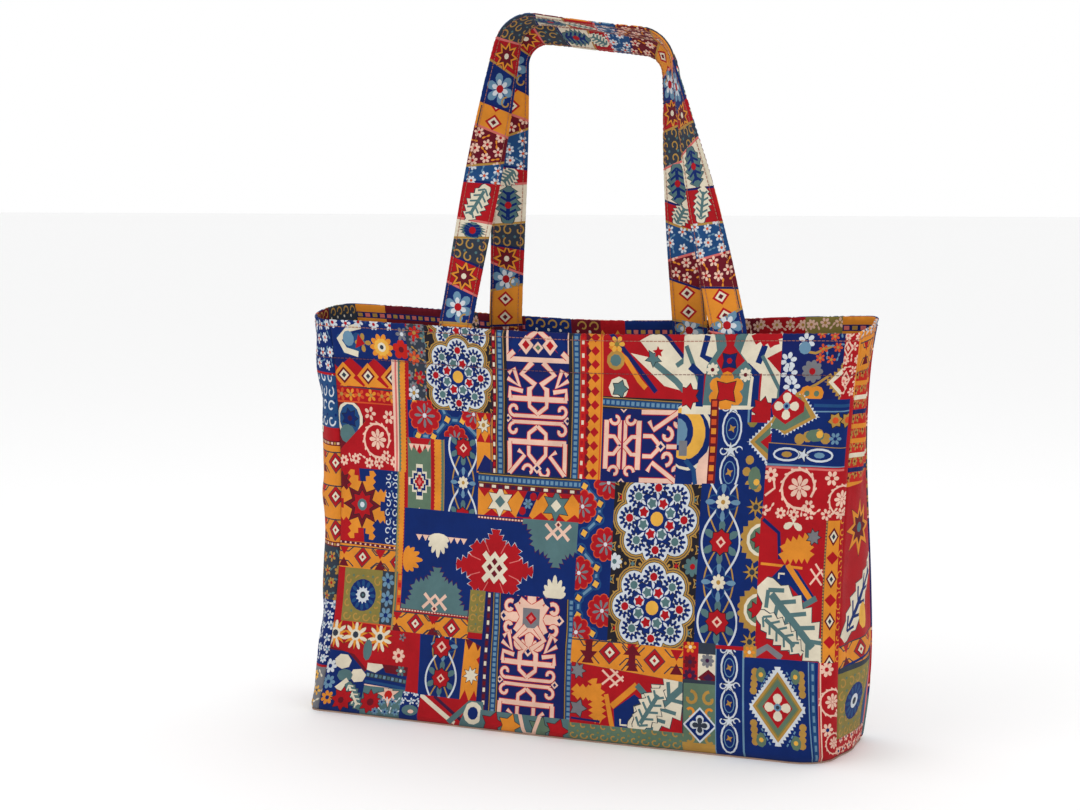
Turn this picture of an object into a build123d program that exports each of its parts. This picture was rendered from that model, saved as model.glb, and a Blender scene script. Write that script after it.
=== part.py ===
"""Soft open-top shoulder bag with a box bottom and two strap handles, held up as for a catalogue view.

Frame: millimetres, +Z up, the front faces -Y, origin on the ground under the middle of the bag.
The body is laid out from the middle between its side seams, and centred when it is finished.
"""

import os
from math import cos, pi, radians, sin, sqrt

from build123d import *

# Cloth, hem and seams
cloth = 1.2
hem_depth = 33.0
seam_gap = 0.05

# Heights of the four levels that shape the body
heel_height = 40.0
waist_height = 160.0
rim_height = 330.0

# Distance from the middle to the left front seam at each level
base_left = 233.0
heel_left = 221.0
waist_left = 210.5
rim_left = 230.0

# Distance from the middle to the right side at each level
base_right = 215.0
heel_right = 220.0
waist_right = 223.0
rim_right = 231.0

# Front to back at each level
base_depth = 120.0
heel_depth = 114.0
waist_depth = 86.0
rim_depth = 50.0

# How far the body lies back behind the rim: the front curls under towards the base
base_lag = 14.0
heel_lag = 7.0

# Radius of the left gusset's corners, which begin at its seams
base_round = 11.0
heel_round = 16.0
waist_round = 26.0
rim_round = 24.0

# Radius of the right-hand corners, where the front and the back wrap round the side
base_corner = 30.0
heel_corner = 18.0
waist_corner = 9.0
rim_corner = 8.0

# Swell of the gussets between their corners, the left one as a share of its flat stretch
left_swell = 0.12
right_swell = 3.0

# How far the front and the back belly out
base_belly = 3.0
heel_belly = 7.0
waist_belly = 8.0
rim_belly = 3.0

# The rim: the back stands higher than the front, and both sag in the middle
back_rise = 11.5
front_sag = 5.0
back_sag = 9.5

# Straps
strap_width = 30.0
strap_thickness = 2.4
foot_length = 30.0
strap_clearance = 0.3
foot_bend = 60.0
top_bend = 26.0

# Front handle: where its middle line crosses the rim, and its two top corners
front_foot_left = -112.5
front_foot_right = 125.5
front_top_left = (-65.5, -10.0, 577.5)
front_top_right = (68.0, -10.0, 556.5)
front_twist = 80.0

# Back handle: its feet stand closer, and its top lies just under the front one
back_foot_left = -88.5
back_foot_right = 75.0
back_top_left = (-80.0, 20.0, 568.5)
back_top_right = (56.5, 20.0, 551.0)
back_twist = 55.0

# Share of a strap, from either end, that stays flat, and by which it is fully turned
twist_start = 0.07
twist_done = 0.48

# Stations that carry the lofts
wall_levels = 8
strap_stations = 25

level_heights = (0.0, heel_height, waist_height, rim_height)


def at_height(z, *level_values):
    """Smooth cubic through the values given for the base, the heel, the waist and the rim."""
    total = 0.0
    for i, value in enumerate(level_values):
        share = 1.0
        for j, height in enumerate(level_heights):
            if i != j:
                share *= (z - height) / (level_heights[i] - height)
        total += value * share
    return total


def left_edge(z):
    return at_height(z, base_left, heel_left, waist_left, rim_left)


def right_edge(z):
    return at_height(z, base_right, heel_right, waist_right, rim_right)


def half_depth(z):
    return at_height(z, base_depth, heel_depth, waist_depth, rim_depth) / 2


def lag(z):
    return at_height(z, base_lag, heel_lag, 0, 0)


def corner_radius(z):
    return at_height(z, base_corner, heel_corner, waist_corner, rim_corner)


def round_radius(z):
    return at_height(z, base_round, heel_round, waist_round, rim_round)


def arc_points(x, y, radius, side, hand):
    """Quarter round about a centre, from the front or the back face to the right or the left side."""
    points = []
    for angle in (0, 30, 60, 90):
        reach = radius * sin(radians(angle))
        points.append((x + hand * reach, y + side * radius * cos(radians(angle))))
    return points


def face_span(z):
    """Middle and half width of the bellied stretch of the front and the back."""
    bend = right_edge(z) - corner_radius(z)
    return (bend - left_edge(z)) / 2, (bend + left_edge(z)) / 2


def face_depth(x, z, side):
    """Where the front (side -1) or the back (side +1) stands at a place."""
    middle, half = face_span(z)
    belly = at_height(z, base_belly, heel_belly, waist_belly, rim_belly)
    return lag(z) + side * (half_depth(z) + belly * cos(pi / 2 * (x - middle) / half) ** 2)


def face_runs(z, inset, side):
    """The bellied stretch from the left seam, and the right corner, moved inwards."""
    middle, half = face_span(z)
    radius = corner_radius(z)
    belly = at_height(z, base_belly, heel_belly, waist_belly, rim_belly)
    stretch = []
    for s in (-1, -0.5, 0, 0.5, 1):
        slope = belly * pi / 2 * sin(pi * s) / half
        x = middle + half * s
        length = sqrt(1 + slope * slope)
        y = face_depth(x, z, side) - side * inset / length
        stretch.append((x - inset * slope / length, y))
    y = lag(z) + side * (half_depth(z) - radius)
    return [stretch, arc_points(middle + half, y, radius - inset, side, 1)]


def front_runs(z, inset):
    return face_runs(z, inset, -1)


def right_runs(z, inset):
    """Right gusset from the front seam to the back seam, swelling a little, moved inwards."""
    reach = half_depth(z) - corner_radius(z)
    points = []
    for s in (-1, -0.5, 0, 0.5, 1):
        x = right_edge(z) + right_swell * cos(pi * s / 2) ** 2 - inset
        points.append((x, lag(z) + reach * s))
    return [points]


def back_runs(z, inset):
    return [run[::-1] for run in face_runs(z, inset, 1)[::-1]]


def left_runs(z, inset):
    """Left gusset from the back seam round its two corners to the front seam, moved inwards."""
    radius = round_radius(z)
    reach = half_depth(z) - radius
    side = []
    for s in (1, 0.5, 0, -0.5, -1):
        x = -left_edge(z) - radius - left_swell * reach * cos(pi * s / 2) ** 2 + inset
        side.append((x, lag(z) + reach * s))
    back_corner = arc_points(-left_edge(z), lag(z) + reach, radius - inset, 1, -1)
    front_corner = arc_points(-left_edge(z), lag(z) - reach, radius - inset, -1, -1)
    return [back_corner, side, front_corner[::-1]]


def rim_at(x, y):
    """Height of the rim over a place in plan: higher at the back, sagging in the middle."""
    share = (y + rim_depth / 2) / rim_depth
    sag = front_sag + (back_sag - front_sag) * share
    reach = rim_left + rim_round
    return rim_height + back_rise * share - sag * cos(pi / 2 * min(abs(x) / reach, 1)) ** 2


def level_rows(runs_at, inset):
    """Rows of points at an inset: evenly up from the base seam to the hem line, then the rim."""
    rim = runs_at(rim_height, inset)
    foot = runs_at(0, inset)
    above_foot = runs_at(cloth, inset)
    rows = []
    for j in range(wall_levels + 1):
        row = []
        for k, run in enumerate(rim):
            points = []
            for i, (rim_x, rim_y) in enumerate(run):
                z = rim_at(rim_x, rim_y)
                if j < wall_levels:
                    lean = (Vector(*above_foot[k][i]) - Vector(*foot[k][i])).length
                    bottom = cloth + seam_gap + lean
                    z = bottom + (z - hem_depth - bottom) * j / (wall_levels - 1)
                points.append(Vector(*runs_at(z, inset)[k][i], z))
            row.append(points)
        row[0][0] += (row[0][1] - row[0][0]).normalized() * seam_gap
        row[-1][-1] += (row[-1][-2] - row[-1][-1]).normalized() * seam_gap
        rows.append(row)
    return rows


def panel(runs_at):
    """A wall of the bag: cloth from the base seam to the rim, and its hem turned inside.

    Its skin runs up the outside, over the rim, down the hem, in to the reverse and down to the base.
    """
    outside = level_rows(runs_at, 0)
    reverse = level_rows(runs_at, cloth)
    hem = level_rows(runs_at, 2 * cloth)
    loop = outside + [hem[-1], hem[-2]] + reverse[-2::-1] + [outside[0]]
    faces = []
    for lower, upper in zip(loop, loop[1:]):
        for low_run, high_run in zip(lower, upper):
            faces.append(Face.make_surface_from_curves(Edge.make_spline(low_run), Edge.make_spline(high_run)))
    for run, end in ((0, 0), (-1, -1)):
        out = [row[run][end] for row in outside]
        back = [row[run][end] for row in reverse]
        fold = [row[run][end] for row in hem]
        corners = [(fold[-1], fold[-2], back[-2]), (out[-1], fold[-1], back[-2]), (out[-2], out[-1], back[-2])]
        for j in range(wall_levels - 1):
            corners.append((out[j], out[j + 1], back[j]))
            corners.append((out[j + 1], back[j + 1], back[j]))
        for triangle in corners:
            faces.append(Face(Wire.make_polygon(triangle, close=True)))
    return Solid(Shell(faces))


def strap_turn(t):
    """How far a strap has turned from flat, 0 to 1, at a share t of its length."""
    turn = 1.0
    for share in (t, 1 - t):
        s = min(max((share - twist_start) / (twist_done - twist_start), 0), 1)
        turn *= s * s * (3 - 2 * s)
    return turn


def strap(foot_left, foot_right, top_left, top_right, side, twist):
    """A flat strap from one foot inside the hem, over the top corners, to the other foot."""
    seat = 2 * cloth + strap_clearance + strap_thickness / 2
    corners = []
    for x in (foot_left, foot_right):
        z = rim_at(x, side * rim_depth / 2)
        low = z - foot_length
        corners.append((x, face_depth(x, low, side) - side * seat, low))
        corners.append((x, face_depth(x, z, side) - side * seat, z))
    with BuildLine() as path:
        FilletPolyline(
            corners[0],
            corners[1],
            top_left,
            top_right,
            corners[3],
            corners[2],
            radius=[foot_bend, top_bend, top_bend, foot_bend],
        )
    route = path.wire()
    with BuildPart() as band:
        for i in range(strap_stations):
            t = i / (strap_stations - 1)
            along = route.tangent_at(t)
            facing = Vector(0, -1, 0)
            facing = (facing - along * facing.dot(along)).normalized()
            inward = along.cross(facing)
            angle = radians(twist) * strap_turn(t)
            normal = facing * cos(angle) + inward * sin(angle)
            across = along.cross(normal)
            with BuildSketch(Plane(origin=route.position_at(t), x_dir=across, z_dir=along)):
                Rectangle(strap_width, strap_thickness)
        loft()
    return band.part


with BuildPart() as front_panel:
    add(panel(front_runs))
front_panel.part.label = "front_panel"

with BuildPart() as back_panel:
    add(panel(back_runs))
back_panel.part.label = "back_panel"

with BuildPart() as left_gusset:
    add(panel(left_runs))
left_gusset.part.label = "left_gusset"

with BuildPart() as right_gusset:
    add(panel(right_runs))
right_gusset.part.label = "right_gusset"

with BuildPart() as base_panel:
    with BuildSketch():
        with BuildLine():
            for runs_at in (front_runs, back_runs, left_runs, right_runs):
                for run in runs_at(0, 0):
                    Spline(*run)
        make_face()
    extrude(amount=cloth)
base_panel.part.label = "base_panel"

with BuildPart() as front_handle:
    add(strap(front_foot_left, front_foot_right, front_top_left, front_top_right, -1, front_twist))
front_handle.part.label = "front_handle"

with BuildPart() as back_handle:
    add(strap(back_foot_left, back_foot_right, back_top_left, back_top_right, 1, back_twist))
back_handle.part.label = "back_handle"

# The middle of the whole bag comes over the origin
pieces = (front_panel, back_panel, left_gusset, right_gusset, base_panel, front_handle, back_handle)
middle = Compound([piece.part for piece in pieces]).bounding_box().center()
to_origin = Location((-middle.X, -middle.Y, 0))
for piece in pieces:
    piece.part.locate(to_origin)

os.makedirs("parts", exist_ok=True)
export_step(front_panel.part, "parts/front_panel.step")
export_step(back_panel.part, "parts/back_panel.step")
export_step(left_gusset.part, "parts/left_gusset.step")
export_step(right_gusset.part, "parts/right_gusset.step")
export_step(base_panel.part, "parts/base_panel.step")
export_step(front_handle.part, "parts/front_handle.step")
export_step(back_handle.part, "parts/back_handle.step")
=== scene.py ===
"""Soft patchwork shoulder bag: its draped cloth, its print, its straps, its sewing and a plain studio.

Lengths inside the form and print functions are millimetres; meshes are made in metres.
"""

from math import cos, hypot, pi, radians, sin

import bmesh
import bpy
import numpy as np
from bpy.props import FloatProperty, FloatVectorProperty, IntProperty
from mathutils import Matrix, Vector
from mathutils.geometry import delaunay_2d_cdt


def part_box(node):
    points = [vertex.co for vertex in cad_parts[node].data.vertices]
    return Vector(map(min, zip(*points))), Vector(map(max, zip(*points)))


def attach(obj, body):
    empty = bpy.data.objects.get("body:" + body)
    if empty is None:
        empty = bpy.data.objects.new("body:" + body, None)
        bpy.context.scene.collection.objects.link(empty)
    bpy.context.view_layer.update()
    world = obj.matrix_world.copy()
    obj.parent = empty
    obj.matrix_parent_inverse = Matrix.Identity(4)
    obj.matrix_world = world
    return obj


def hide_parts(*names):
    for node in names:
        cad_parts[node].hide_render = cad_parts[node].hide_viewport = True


bl_info = {
    "name": "Patchwork shoulder bag",
    "version": (1, 0, 0),
    "blender": (4, 5, 0),
    "location": "View3D > Sidebar > Bag",
    "description": "Builds the cloth, straps, sewing and studio of a soft shoulder bag",
    "category": "Object",
}

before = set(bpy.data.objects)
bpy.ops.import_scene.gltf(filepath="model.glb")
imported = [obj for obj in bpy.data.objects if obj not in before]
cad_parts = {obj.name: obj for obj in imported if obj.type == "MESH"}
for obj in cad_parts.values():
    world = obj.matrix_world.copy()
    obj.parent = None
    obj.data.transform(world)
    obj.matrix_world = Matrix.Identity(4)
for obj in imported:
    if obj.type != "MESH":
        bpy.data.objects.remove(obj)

MM = 0.001
LEVELS = (0.0, 40.0, 160.0, 330.0)
FACE_RUN = 477.0
LEFT_RUN = 132.0
RIGHT_RUN = 66.0
THREAD_SCALE = 900.0

# Dyes of the print, as seen on screen
DYES = {
    "red": (0.66, 0.07, 0.11),
    "scarlet": (0.74, 0.13, 0.10),
    "maroon": (0.40, 0.07, 0.13),
    "navy": (0.04, 0.15, 0.40),
    "ink": (0.07, 0.12, 0.36),
    "night": (0.13, 0.12, 0.15),
    "blue": (0.12, 0.28, 0.47),
    "sky": (0.40, 0.54, 0.64),
    "ice": (0.80, 0.82, 0.84),
    "orange": (0.85, 0.53, 0.17),
    "coral": (0.80, 0.31, 0.15),
    "gold": (0.68, 0.52, 0.25),
    "yellow": (0.88, 0.66, 0.27),
    "olive": (0.52, 0.47, 0.24),
    "sage": (0.36, 0.45, 0.37),
    "teal": (0.32, 0.44, 0.45),
    "grey": (0.46, 0.46, 0.48),
    "slate": (0.19, 0.22, 0.27),
    "cream": (0.86, 0.82, 0.73),
    "blush": (0.90, 0.74, 0.66),
    "pink": (0.82, 0.42, 0.40),
    "plum": (0.24, 0.10, 0.24),
    "reverse": (0.66, 0.55, 0.49),
}
NAMES = list(DYES)


def linear(value):
    """Screen value to light value."""
    return value / 12.92 if value <= 0.04045 else ((value + 0.055) / 1.055) ** 2.4


# Form of the body


def at_height(z, values):
    """Smooth cubic through the values at the base, the heel, the waist and the rim."""
    total = 0.0
    for i, value in enumerate(values):
        share = 1.0
        for j, height in enumerate(LEVELS):
            if i != j:
                share = share * (z - height) / (LEVELS[i] - height)
        total = total + value * share
    return total


def face_row(body, a, z, inset, side):
    """Front (side -1) or back (side +1), a from the left seam round the right corner."""
    left = -at_height(z, body.left)
    radius = at_height(z, body.corner)
    bend = at_height(z, body.right) - radius
    depth = at_height(z, body.depth) / 2
    belly = at_height(z, body.belly)
    half = (bend - left) / 2
    s = a * (bend - left + pi / 2 * radius)
    t = np.clip(s / half - 1, -1, 1)
    slope = belly * pi / 2 * np.sin(pi * t) / half
    length = np.sqrt(1 + slope**2)
    angle = np.clip((s - 2 * half) / radius, 0, pi / 2)
    flat_x = left + half + half * t - inset * slope / length
    flat_y = depth + belly * np.cos(pi / 2 * t) ** 2 - inset / length
    round_x = bend + (radius - inset) * np.sin(angle)
    round_y = depth - radius + (radius - inset) * np.cos(angle)
    on_flat = s < 2 * half
    x = np.where(on_flat, flat_x, round_x)
    y = np.where(on_flat, flat_y, round_y)
    return x, at_height(z, body.lag) + side * y


def front_row(body, a, z, inset):
    return face_row(body, a, z, inset, -1)


def back_row(body, a, z, inset):
    return face_row(body, 1 - a, z, inset, 1)


def right_row(body, a, z, inset):
    """Right gusset, from the front seam to the back seam."""
    reach = at_height(z, body.depth) / 2 - at_height(z, body.corner)
    s = 2 * a - 1
    x = at_height(z, body.right) + body.right_swell * np.cos(pi / 2 * s) ** 2 - inset
    return x, at_height(z, body.lag) + reach * s


def left_row(body, a, z, inset):
    """Left gusset, from the back seam round its two corners to the front seam."""
    radius = at_height(z, body.round)
    reach = at_height(z, body.depth) / 2 - radius
    quarter = pi / 2 * radius
    s = a * (2 * quarter + 2 * reach)
    first = np.clip(s / radius, 0, pi / 2)
    last = np.clip((s - quarter - 2 * reach) / radius, 0, pi / 2)
    across = np.clip((s - quarter) / reach - 1, -1, 1)
    out = np.where(s < quarter, np.sin(first), np.where(across < 1, 1, np.cos(last)))
    swell = body.left_swell * reach * np.cos(pi / 2 * across) ** 2
    x = -at_height(z, body.left) - (radius - inset) * out - swell
    turn = np.where(s < quarter, np.cos(first), -np.sin(last))
    y = np.where(
        (s >= quarter) & (across < 1), -reach * across, reach * np.sign(turn) + (radius - inset) * turn,
    )
    return x, at_height(z, body.lag) + y


def rim_at(body, x, y):
    """Height of the rim over a place in plan."""
    share = (y + body.depth[3] / 2) / body.depth[3]
    sag = body.front_sag + (body.back_sag - body.front_sag) * share
    reach = body.left[3] + body.round[3]
    return LEVELS[3] + body.back_rise * share - sag * np.cos(pi / 2 * np.minimum(np.abs(x) / reach, 1)) ** 2


def creases(seed, width, height, count, u, v):
    """Soft folds of the hanging cloth: long shallow ridges and hollows on seeded lines."""
    rng = np.random.default_rng(seed)
    total = np.zeros_like(u)
    for _ in range(count):
        x, y = rng.uniform(0, width), rng.uniform(0, height)
        lean = rng.normal(0, 0.5) + (pi / 2 if rng.random() < 0.65 else 0.5)
        length, breadth = rng.uniform(40, 130), rng.uniform(9, 22)
        depth = rng.uniform(0.35, 1.5) * rng.choice((-1, 1))
        along = (u - x) * cos(lean) + (v - y) * sin(lean)
        away = -(u - x) * sin(lean) + (v - y) * cos(lean) + 6 * np.sin(along / 30)
        total = total + depth * np.exp(-((along / length) ** 2) * 2 - (away / breadth) ** 2)
    return total


def drape(body, row, width, seed, u, v, under=0.0):
    """Puts flat places of a cut wall on the bag. v runs up the outside, over the rim and down the hem."""
    roll = body.cloth
    a = u / width
    rim_x, rim_y = row(body, a, np.full_like(u, LEVELS[3]), 0.0)
    top = rim_at(body, rim_x, rim_y)
    foot = body.cloth + 0.1
    arc = np.clip((v - LEVELS[3]) / roll, 0, pi)
    down = np.maximum(v - LEVELS[3] - pi * roll, 0)
    z = foot + (top - roll - foot) * np.minimum(v / LEVELS[3], 1) + roll * np.sin(arc) - down
    inset = roll * (1 - np.cos(arc)) + under
    edge = np.minimum(u, width - u)
    tuck = 1.3 * np.clip(1 - edge / 3.2, 0, 1) ** 2
    hemmed = np.clip((v - LEVELS[3] + 6) / 6, 0, 1)
    inset = inset + tuck * (1 - hemmed) + 2.2 * np.clip(1 - v / 5, 0, 1) ** 2
    stitched = 0.5 * np.exp(-(((z - top + 4.5) / 1.6) ** 2)) + 0.35 * np.exp(
        -(((z - top + body.hem) / 2.0) ** 2)
    )
    held = np.clip(edge / 14, 0, 1) * np.clip(z / 22, 0, 1) * np.clip((top - z) / 40 + 0.25, 0, 1)
    height = np.minimum(z, LEVELS[3])
    fold = body.crease * held * creases(seed, width, LEVELS[3], 46, u, height)
    pucker = 0.22 * np.sin(u / 1.9 + 2 * np.sin(u / 23)) * np.exp(-(((z - top + 6) / 7) ** 2))
    x, y = row(body, a, z, inset + np.where(v < LEVELS[3] + 1, stitched - pucker, 0) - fold)
    return np.stack([x, y, z], -1)


# Flat cut pieces and their print


def clipped(points, fence):
    """A polygon cut to a convex fence that runs anticlockwise."""
    for (ax, ay), (bx, by) in zip(fence, fence[1:] + fence[:1]):
        if not points:
            break
        kept = []
        sides = [(bx - ax) * (y - ay) - (by - ay) * (x - ax) for x, y in points]
        for i, (x, y) in enumerate(points):
            px, py = points[i - 1]
            if (sides[i] >= 0) != (sides[i - 1] >= 0):
                share = sides[i - 1] / (sides[i - 1] - sides[i])
                kept.append((px + (x - px) * share, py + (y - py) * share))
            if sides[i] >= 0:
                kept.append((x, y))
        points = kept
    return points


def ring(x, y, radius, count, turn=0.0, stretch=1.0):
    points = []
    for i in range(count):
        angle = 2 * pi * i / count + turn
        points.append((x + radius * cos(angle), y + radius * stretch * sin(angle)))
    return points


def saw(points, tooth, depth):
    """An outline with teeth along its edges, standing out to its right."""
    cut = []
    for (ax, ay), (bx, by) in zip(points, points[1:] + points[:1]):
        length = hypot(bx - ax, by - ay)
        count = max(round(length / tooth), 1)
        for i in range(count):
            for share, out in ((i / count, 0), ((i + 0.5) / count, depth)):
                x, y = ax + (bx - ax) * share, ay + (by - ay) * share
                cut.append((x + (by - ay) / length * out, y - (bx - ax) / length * out))
    return cut


class Cut:
    """A flat cut piece of printed cloth, drawn patch by patch, in millimetres."""

    def __init__(self, width, height, ground):
        width, height = round(width, 2), round(height, 2)
        self.width, self.height = width, height
        self.fence = [(0, 0), (width, 0), (width, height), (0, height)]
        self.patch_fence = self.fence
        self.shapes = []
        self.shape(self.fence, ground)

    def shape(self, points, dye):
        points = clipped(clipped(list(points), self.patch_fence), self.fence)
        points = [(round(x, 2), round(y, 2)) for x, y in points]
        points = [p for i, p in enumerate(points) if p != points[i - 1]]
        area = sum(points[i - 1][0] * p[1] - p[0] * points[i - 1][1] for i, p in enumerate(points)) / 2
        if len(points) > 2 and abs(area) > 0.08:
            self.shapes.append((points if area > 0 else points[::-1], NAMES.index(dye)))

    def patch(self, corners, dye):
        """Starts a patch: what is drawn next stays inside its convex corners, given anticlockwise."""
        self.patch_fence = list(corners)
        self.shape(corners, dye)

    def block(self, x0, y0, x1, y1, dye):
        self.patch([(x0, y0), (x1, y0), (x1, y1), (x0, y1)], dye)

    def box(self, x0, y0, x1, y1, dye):
        self.shape([(x0, y0), (x1, y0), (x1, y1), (x0, y1)], dye)

    def disc(self, x, y, radius, dye, count=12, stretch=1.0):
        self.shape(ring(x, y, radius, count, 0.2, stretch), dye)

    def diamond(self, x, y, wide, high, *dyes):
        """Nested diamonds, each dye a step smaller."""
        for i, dye in enumerate(dyes):
            share = 1 - i / len(dyes)
            self.shape(
                [
                    (x - wide * share, y), (x, y - high * share), (x + wide * share, y),
                    (x, y + high * share),
                ],
                dye,
            )

    def star(self, x, y, outer, inner, count, dye, turn=0.0):
        """Star with a dark outline where it is large enough to show one."""
        if outer > 5 and dye != "night":
            self.star(x, y, outer + 1.1, inner + 0.6, count, "night", turn)
        points = []
        for i in range(2 * count):
            radius = inner if i % 2 else outer
            angle = pi * i / count + turn
            points.append((x + radius * cos(angle), y + radius * sin(angle)))
        self.shape(points, dye)

    def petals(self, x, y, start, reach, count, breadth, dye, turn=0.0):
        """Almond petals round a centre."""
        for i in range(count):
            angle = 2 * pi * i / count + turn
            ax, ay = cos(angle), sin(angle)
            points = []
            for along, across in ((0, 0.15), (0.35, 0.85), (0.7, 1), (0.93, 0.55), (1, 0)):
                r = start + (reach - start) * along
                points.append((x + ax * r - ay * across * breadth, y + ay * r + ax * across * breadth))
            for along, across in ((0.93, 0.55), (0.7, 1), (0.35, 0.85), (0, 0.15)):
                r = start + (reach - start) * along
                points.append((x + ax * r + ay * across * breadth, y + ay * r - ax * across * breadth))
            self.shape(points, dye)

    def line(self, points, breadth, dye):
        """A ribbon of even breadth along a path, made of one quad for each run."""
        sides = []
        for i in range(len(points)):
            px, py = points[max(i - 1, 0)]
            nx, ny = points[min(i + 1, len(points) - 1)]
            length = hypot(nx - px, ny - py) or 1
            sides.append((-(ny - py) / length * breadth / 2, (nx - px) / length * breadth / 2))
        for i in range(len(points) - 1):
            (ax, ay), (bx, by) = points[i], points[i + 1]
            (au, av), (bu, bv) = sides[i], sides[i + 1]
            self.shape(
                [(ax + au, ay + av), (ax - au, ay - av), (bx - bu, by - bv), (bx + bu, by + bv)], dye,
            )

    def bar(self, points, breadth=3.6, dye="blush", rim="scarlet"):
        self.line(points, breadth + 1.3, rim)
        self.line(points, breadth, dye)

    def curl(self, x, y, radius, start, sweep, breadth, dye, rim=None):
        """A scroll that winds in to its centre."""
        points = []
        for i in range(11):
            r = radius * (1 - 0.62 * i / 10)
            angle = start + sweep * i / 10
            points.append((x + r * cos(angle), y + r * sin(angle)))
        if rim:
            self.line(points, breadth + 1.2, rim)
        self.line(points, breadth, dye)

    def beads(self, x0, y0, x1, y1, breadth, pitch, ground, *dyes):
        """A narrow border with blocks or beads in turn along it."""
        self.line([(x0, y0), (x1, y1)], breadth, ground)
        length = hypot(x1 - x0, y1 - y0)
        count = max(int(length / pitch), 1)
        for i in range(count):
            a, b = (i + 0.18) / count, (i + 0.82) / count
            ends = [(x0 + (x1 - x0) * s, y0 + (y1 - y0) * s) for s in (a, b)]
            self.line(ends, breadth * 0.62, dyes[i % len(dyes)])

    def scallops(self, x0, y0, x1, y1, radius, dye):
        length = hypot(x1 - x0, y1 - y0)
        count = max(int(length / (1.7 * radius)), 1)
        for i in range(count + 1):
            s = i / count
            self.disc(x0 + (x1 - x0) * s, y0 + (y1 - y0) * s, radius, dye, 8)

    def chain(self, x0, y0, x1, y1, breadth=7.0):
        """Blue chain border between thin gold lines."""
        self.line([(x0, y0), (x1, y1)], breadth + 4, "night")
        self.line([(x0, y0), (x1, y1)], breadth + 2.6, "gold")
        self.line([(x0, y0), (x1, y1)], breadth + 1.4, "slate")
        self.beads(x0, y0, x1, y1, breadth, 4.4, "blue", "sky")

    def daisy(self, x, y, radius, dye, heart, count=8, turn=0.0):
        self.petals(x, y, radius * 0.15, radius, count, radius * 0.26, dye, turn)
        self.disc(x, y, radius * 0.3, heart, 8)

    def rosette(self, x, y, r):
        """Eight-lobed medallion outlined in gold, with a flower in each lobe."""
        lobes = [(x + 0.68 * r * cos(pi * i / 4), y + 0.68 * r * sin(pi * i / 4)) for i in range(8)]
        for spread, dye in (
            (0.42, "gold"), (0.385, "slate"), (0.365, "gold"), (0.33, "night"), (0.315, "ice"),
        ):
            self.disc(x, y, r * (0.5 + spread), dye, 24)
            for px, py in lobes:
                self.disc(px, py, r * spread, dye, 18)
        for px, py in lobes:
            self.petals(px, py, 0.13 * r, 0.27 * r, 12, 0.035 * r, "navy")
        self.star(x, y, 0.62 * r, 0.52 * r, 16, "navy", 0.1)
        for i, (px, py) in enumerate(lobes):
            dye = "red" if i % 2 == 0 else "teal"
            self.disc(px, py, 0.185 * r, "navy", 12)
            self.star(px, py, 0.16 * r, 0.1 * r, 9, "ice", 0.3)
            self.disc(px, py, 0.095 * r, dye, 9)
            angle = pi * i / 4 + pi / 8
            mx, my = x + 0.36 * r * cos(angle), y + 0.36 * r * sin(angle)
            self.disc(mx, my, 0.135 * r, "ice", 8)
            self.star(mx, my, 0.13 * r, 0.08 * r, 5, "teal" if i % 2 == 0 else "red", angle)
            self.petals(x, y, 0.42 * r, 0.56 * r, 1, 0.035 * r, "ice", pi * i / 4)
        self.disc(x, y, 0.2 * r, "navy", 14)
        self.disc(x, y, 0.16 * r, "yellow", 12)

    def lattice(self, x0, y0, x1, y1, pitch):
        """Dark ground with gold links and small red stars."""
        rows = int((y1 - y0) / pitch) + 1
        columns = int((x1 - x0) / pitch) + 1
        for j in range(rows + 1):
            for i in range(columns + 1):
                x, y = x0 + (i + 0.5 * (j % 2)) * pitch, y0 + j * pitch
                self.star(x, y, 0.42 * pitch, 0.2 * pitch, 4, "gold", pi / 4)
                self.star(x, y, 0.3 * pitch, 0.12 * pitch, 4, "night", pi / 4)
                self.star(x, y, 0.2 * pitch, 0.1 * pitch, 4, "red" if (i + j) % 2 else "teal", 0)
                self.disc(x + 0.5 * pitch, y, 0.1 * pitch, "gold", 6)

    def aster(self, x, y, r, turn=0.0):
        """Ten-lobed red flower with grey rays."""
        for spread, dye in ((0.3, "coral"), (0.24, "red")):
            self.disc(x, y, 0.8 * r, dye, 20)
            for px, py in ring(x, y, 0.74 * r, 10, turn):
                self.disc(px, py, r * spread, dye, 9)
        self.petals(x, y, 0.15 * r, 0.66 * r, 8, 0.085 * r, "grey", turn)
        self.disc(x, y, 0.13 * r, "ice", 8)

    def trellis(self, points, links):
        """Blue links between yellow squares on navy."""
        for ax, ay, bx, by in links:
            self.line([(ax, ay), (bx, by)], 5.5, "blue")
            self.line([(ax, ay), (bx, by)], 2.2, "sky")
        for x, y in points:
            self.disc(x, y, 5.2, "blue", 10)
            self.disc(x, y, 3.8, "navy", 8)
            self.star(x, y, 3.4, 2.3, 4, "yellow", 0.3)

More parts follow.
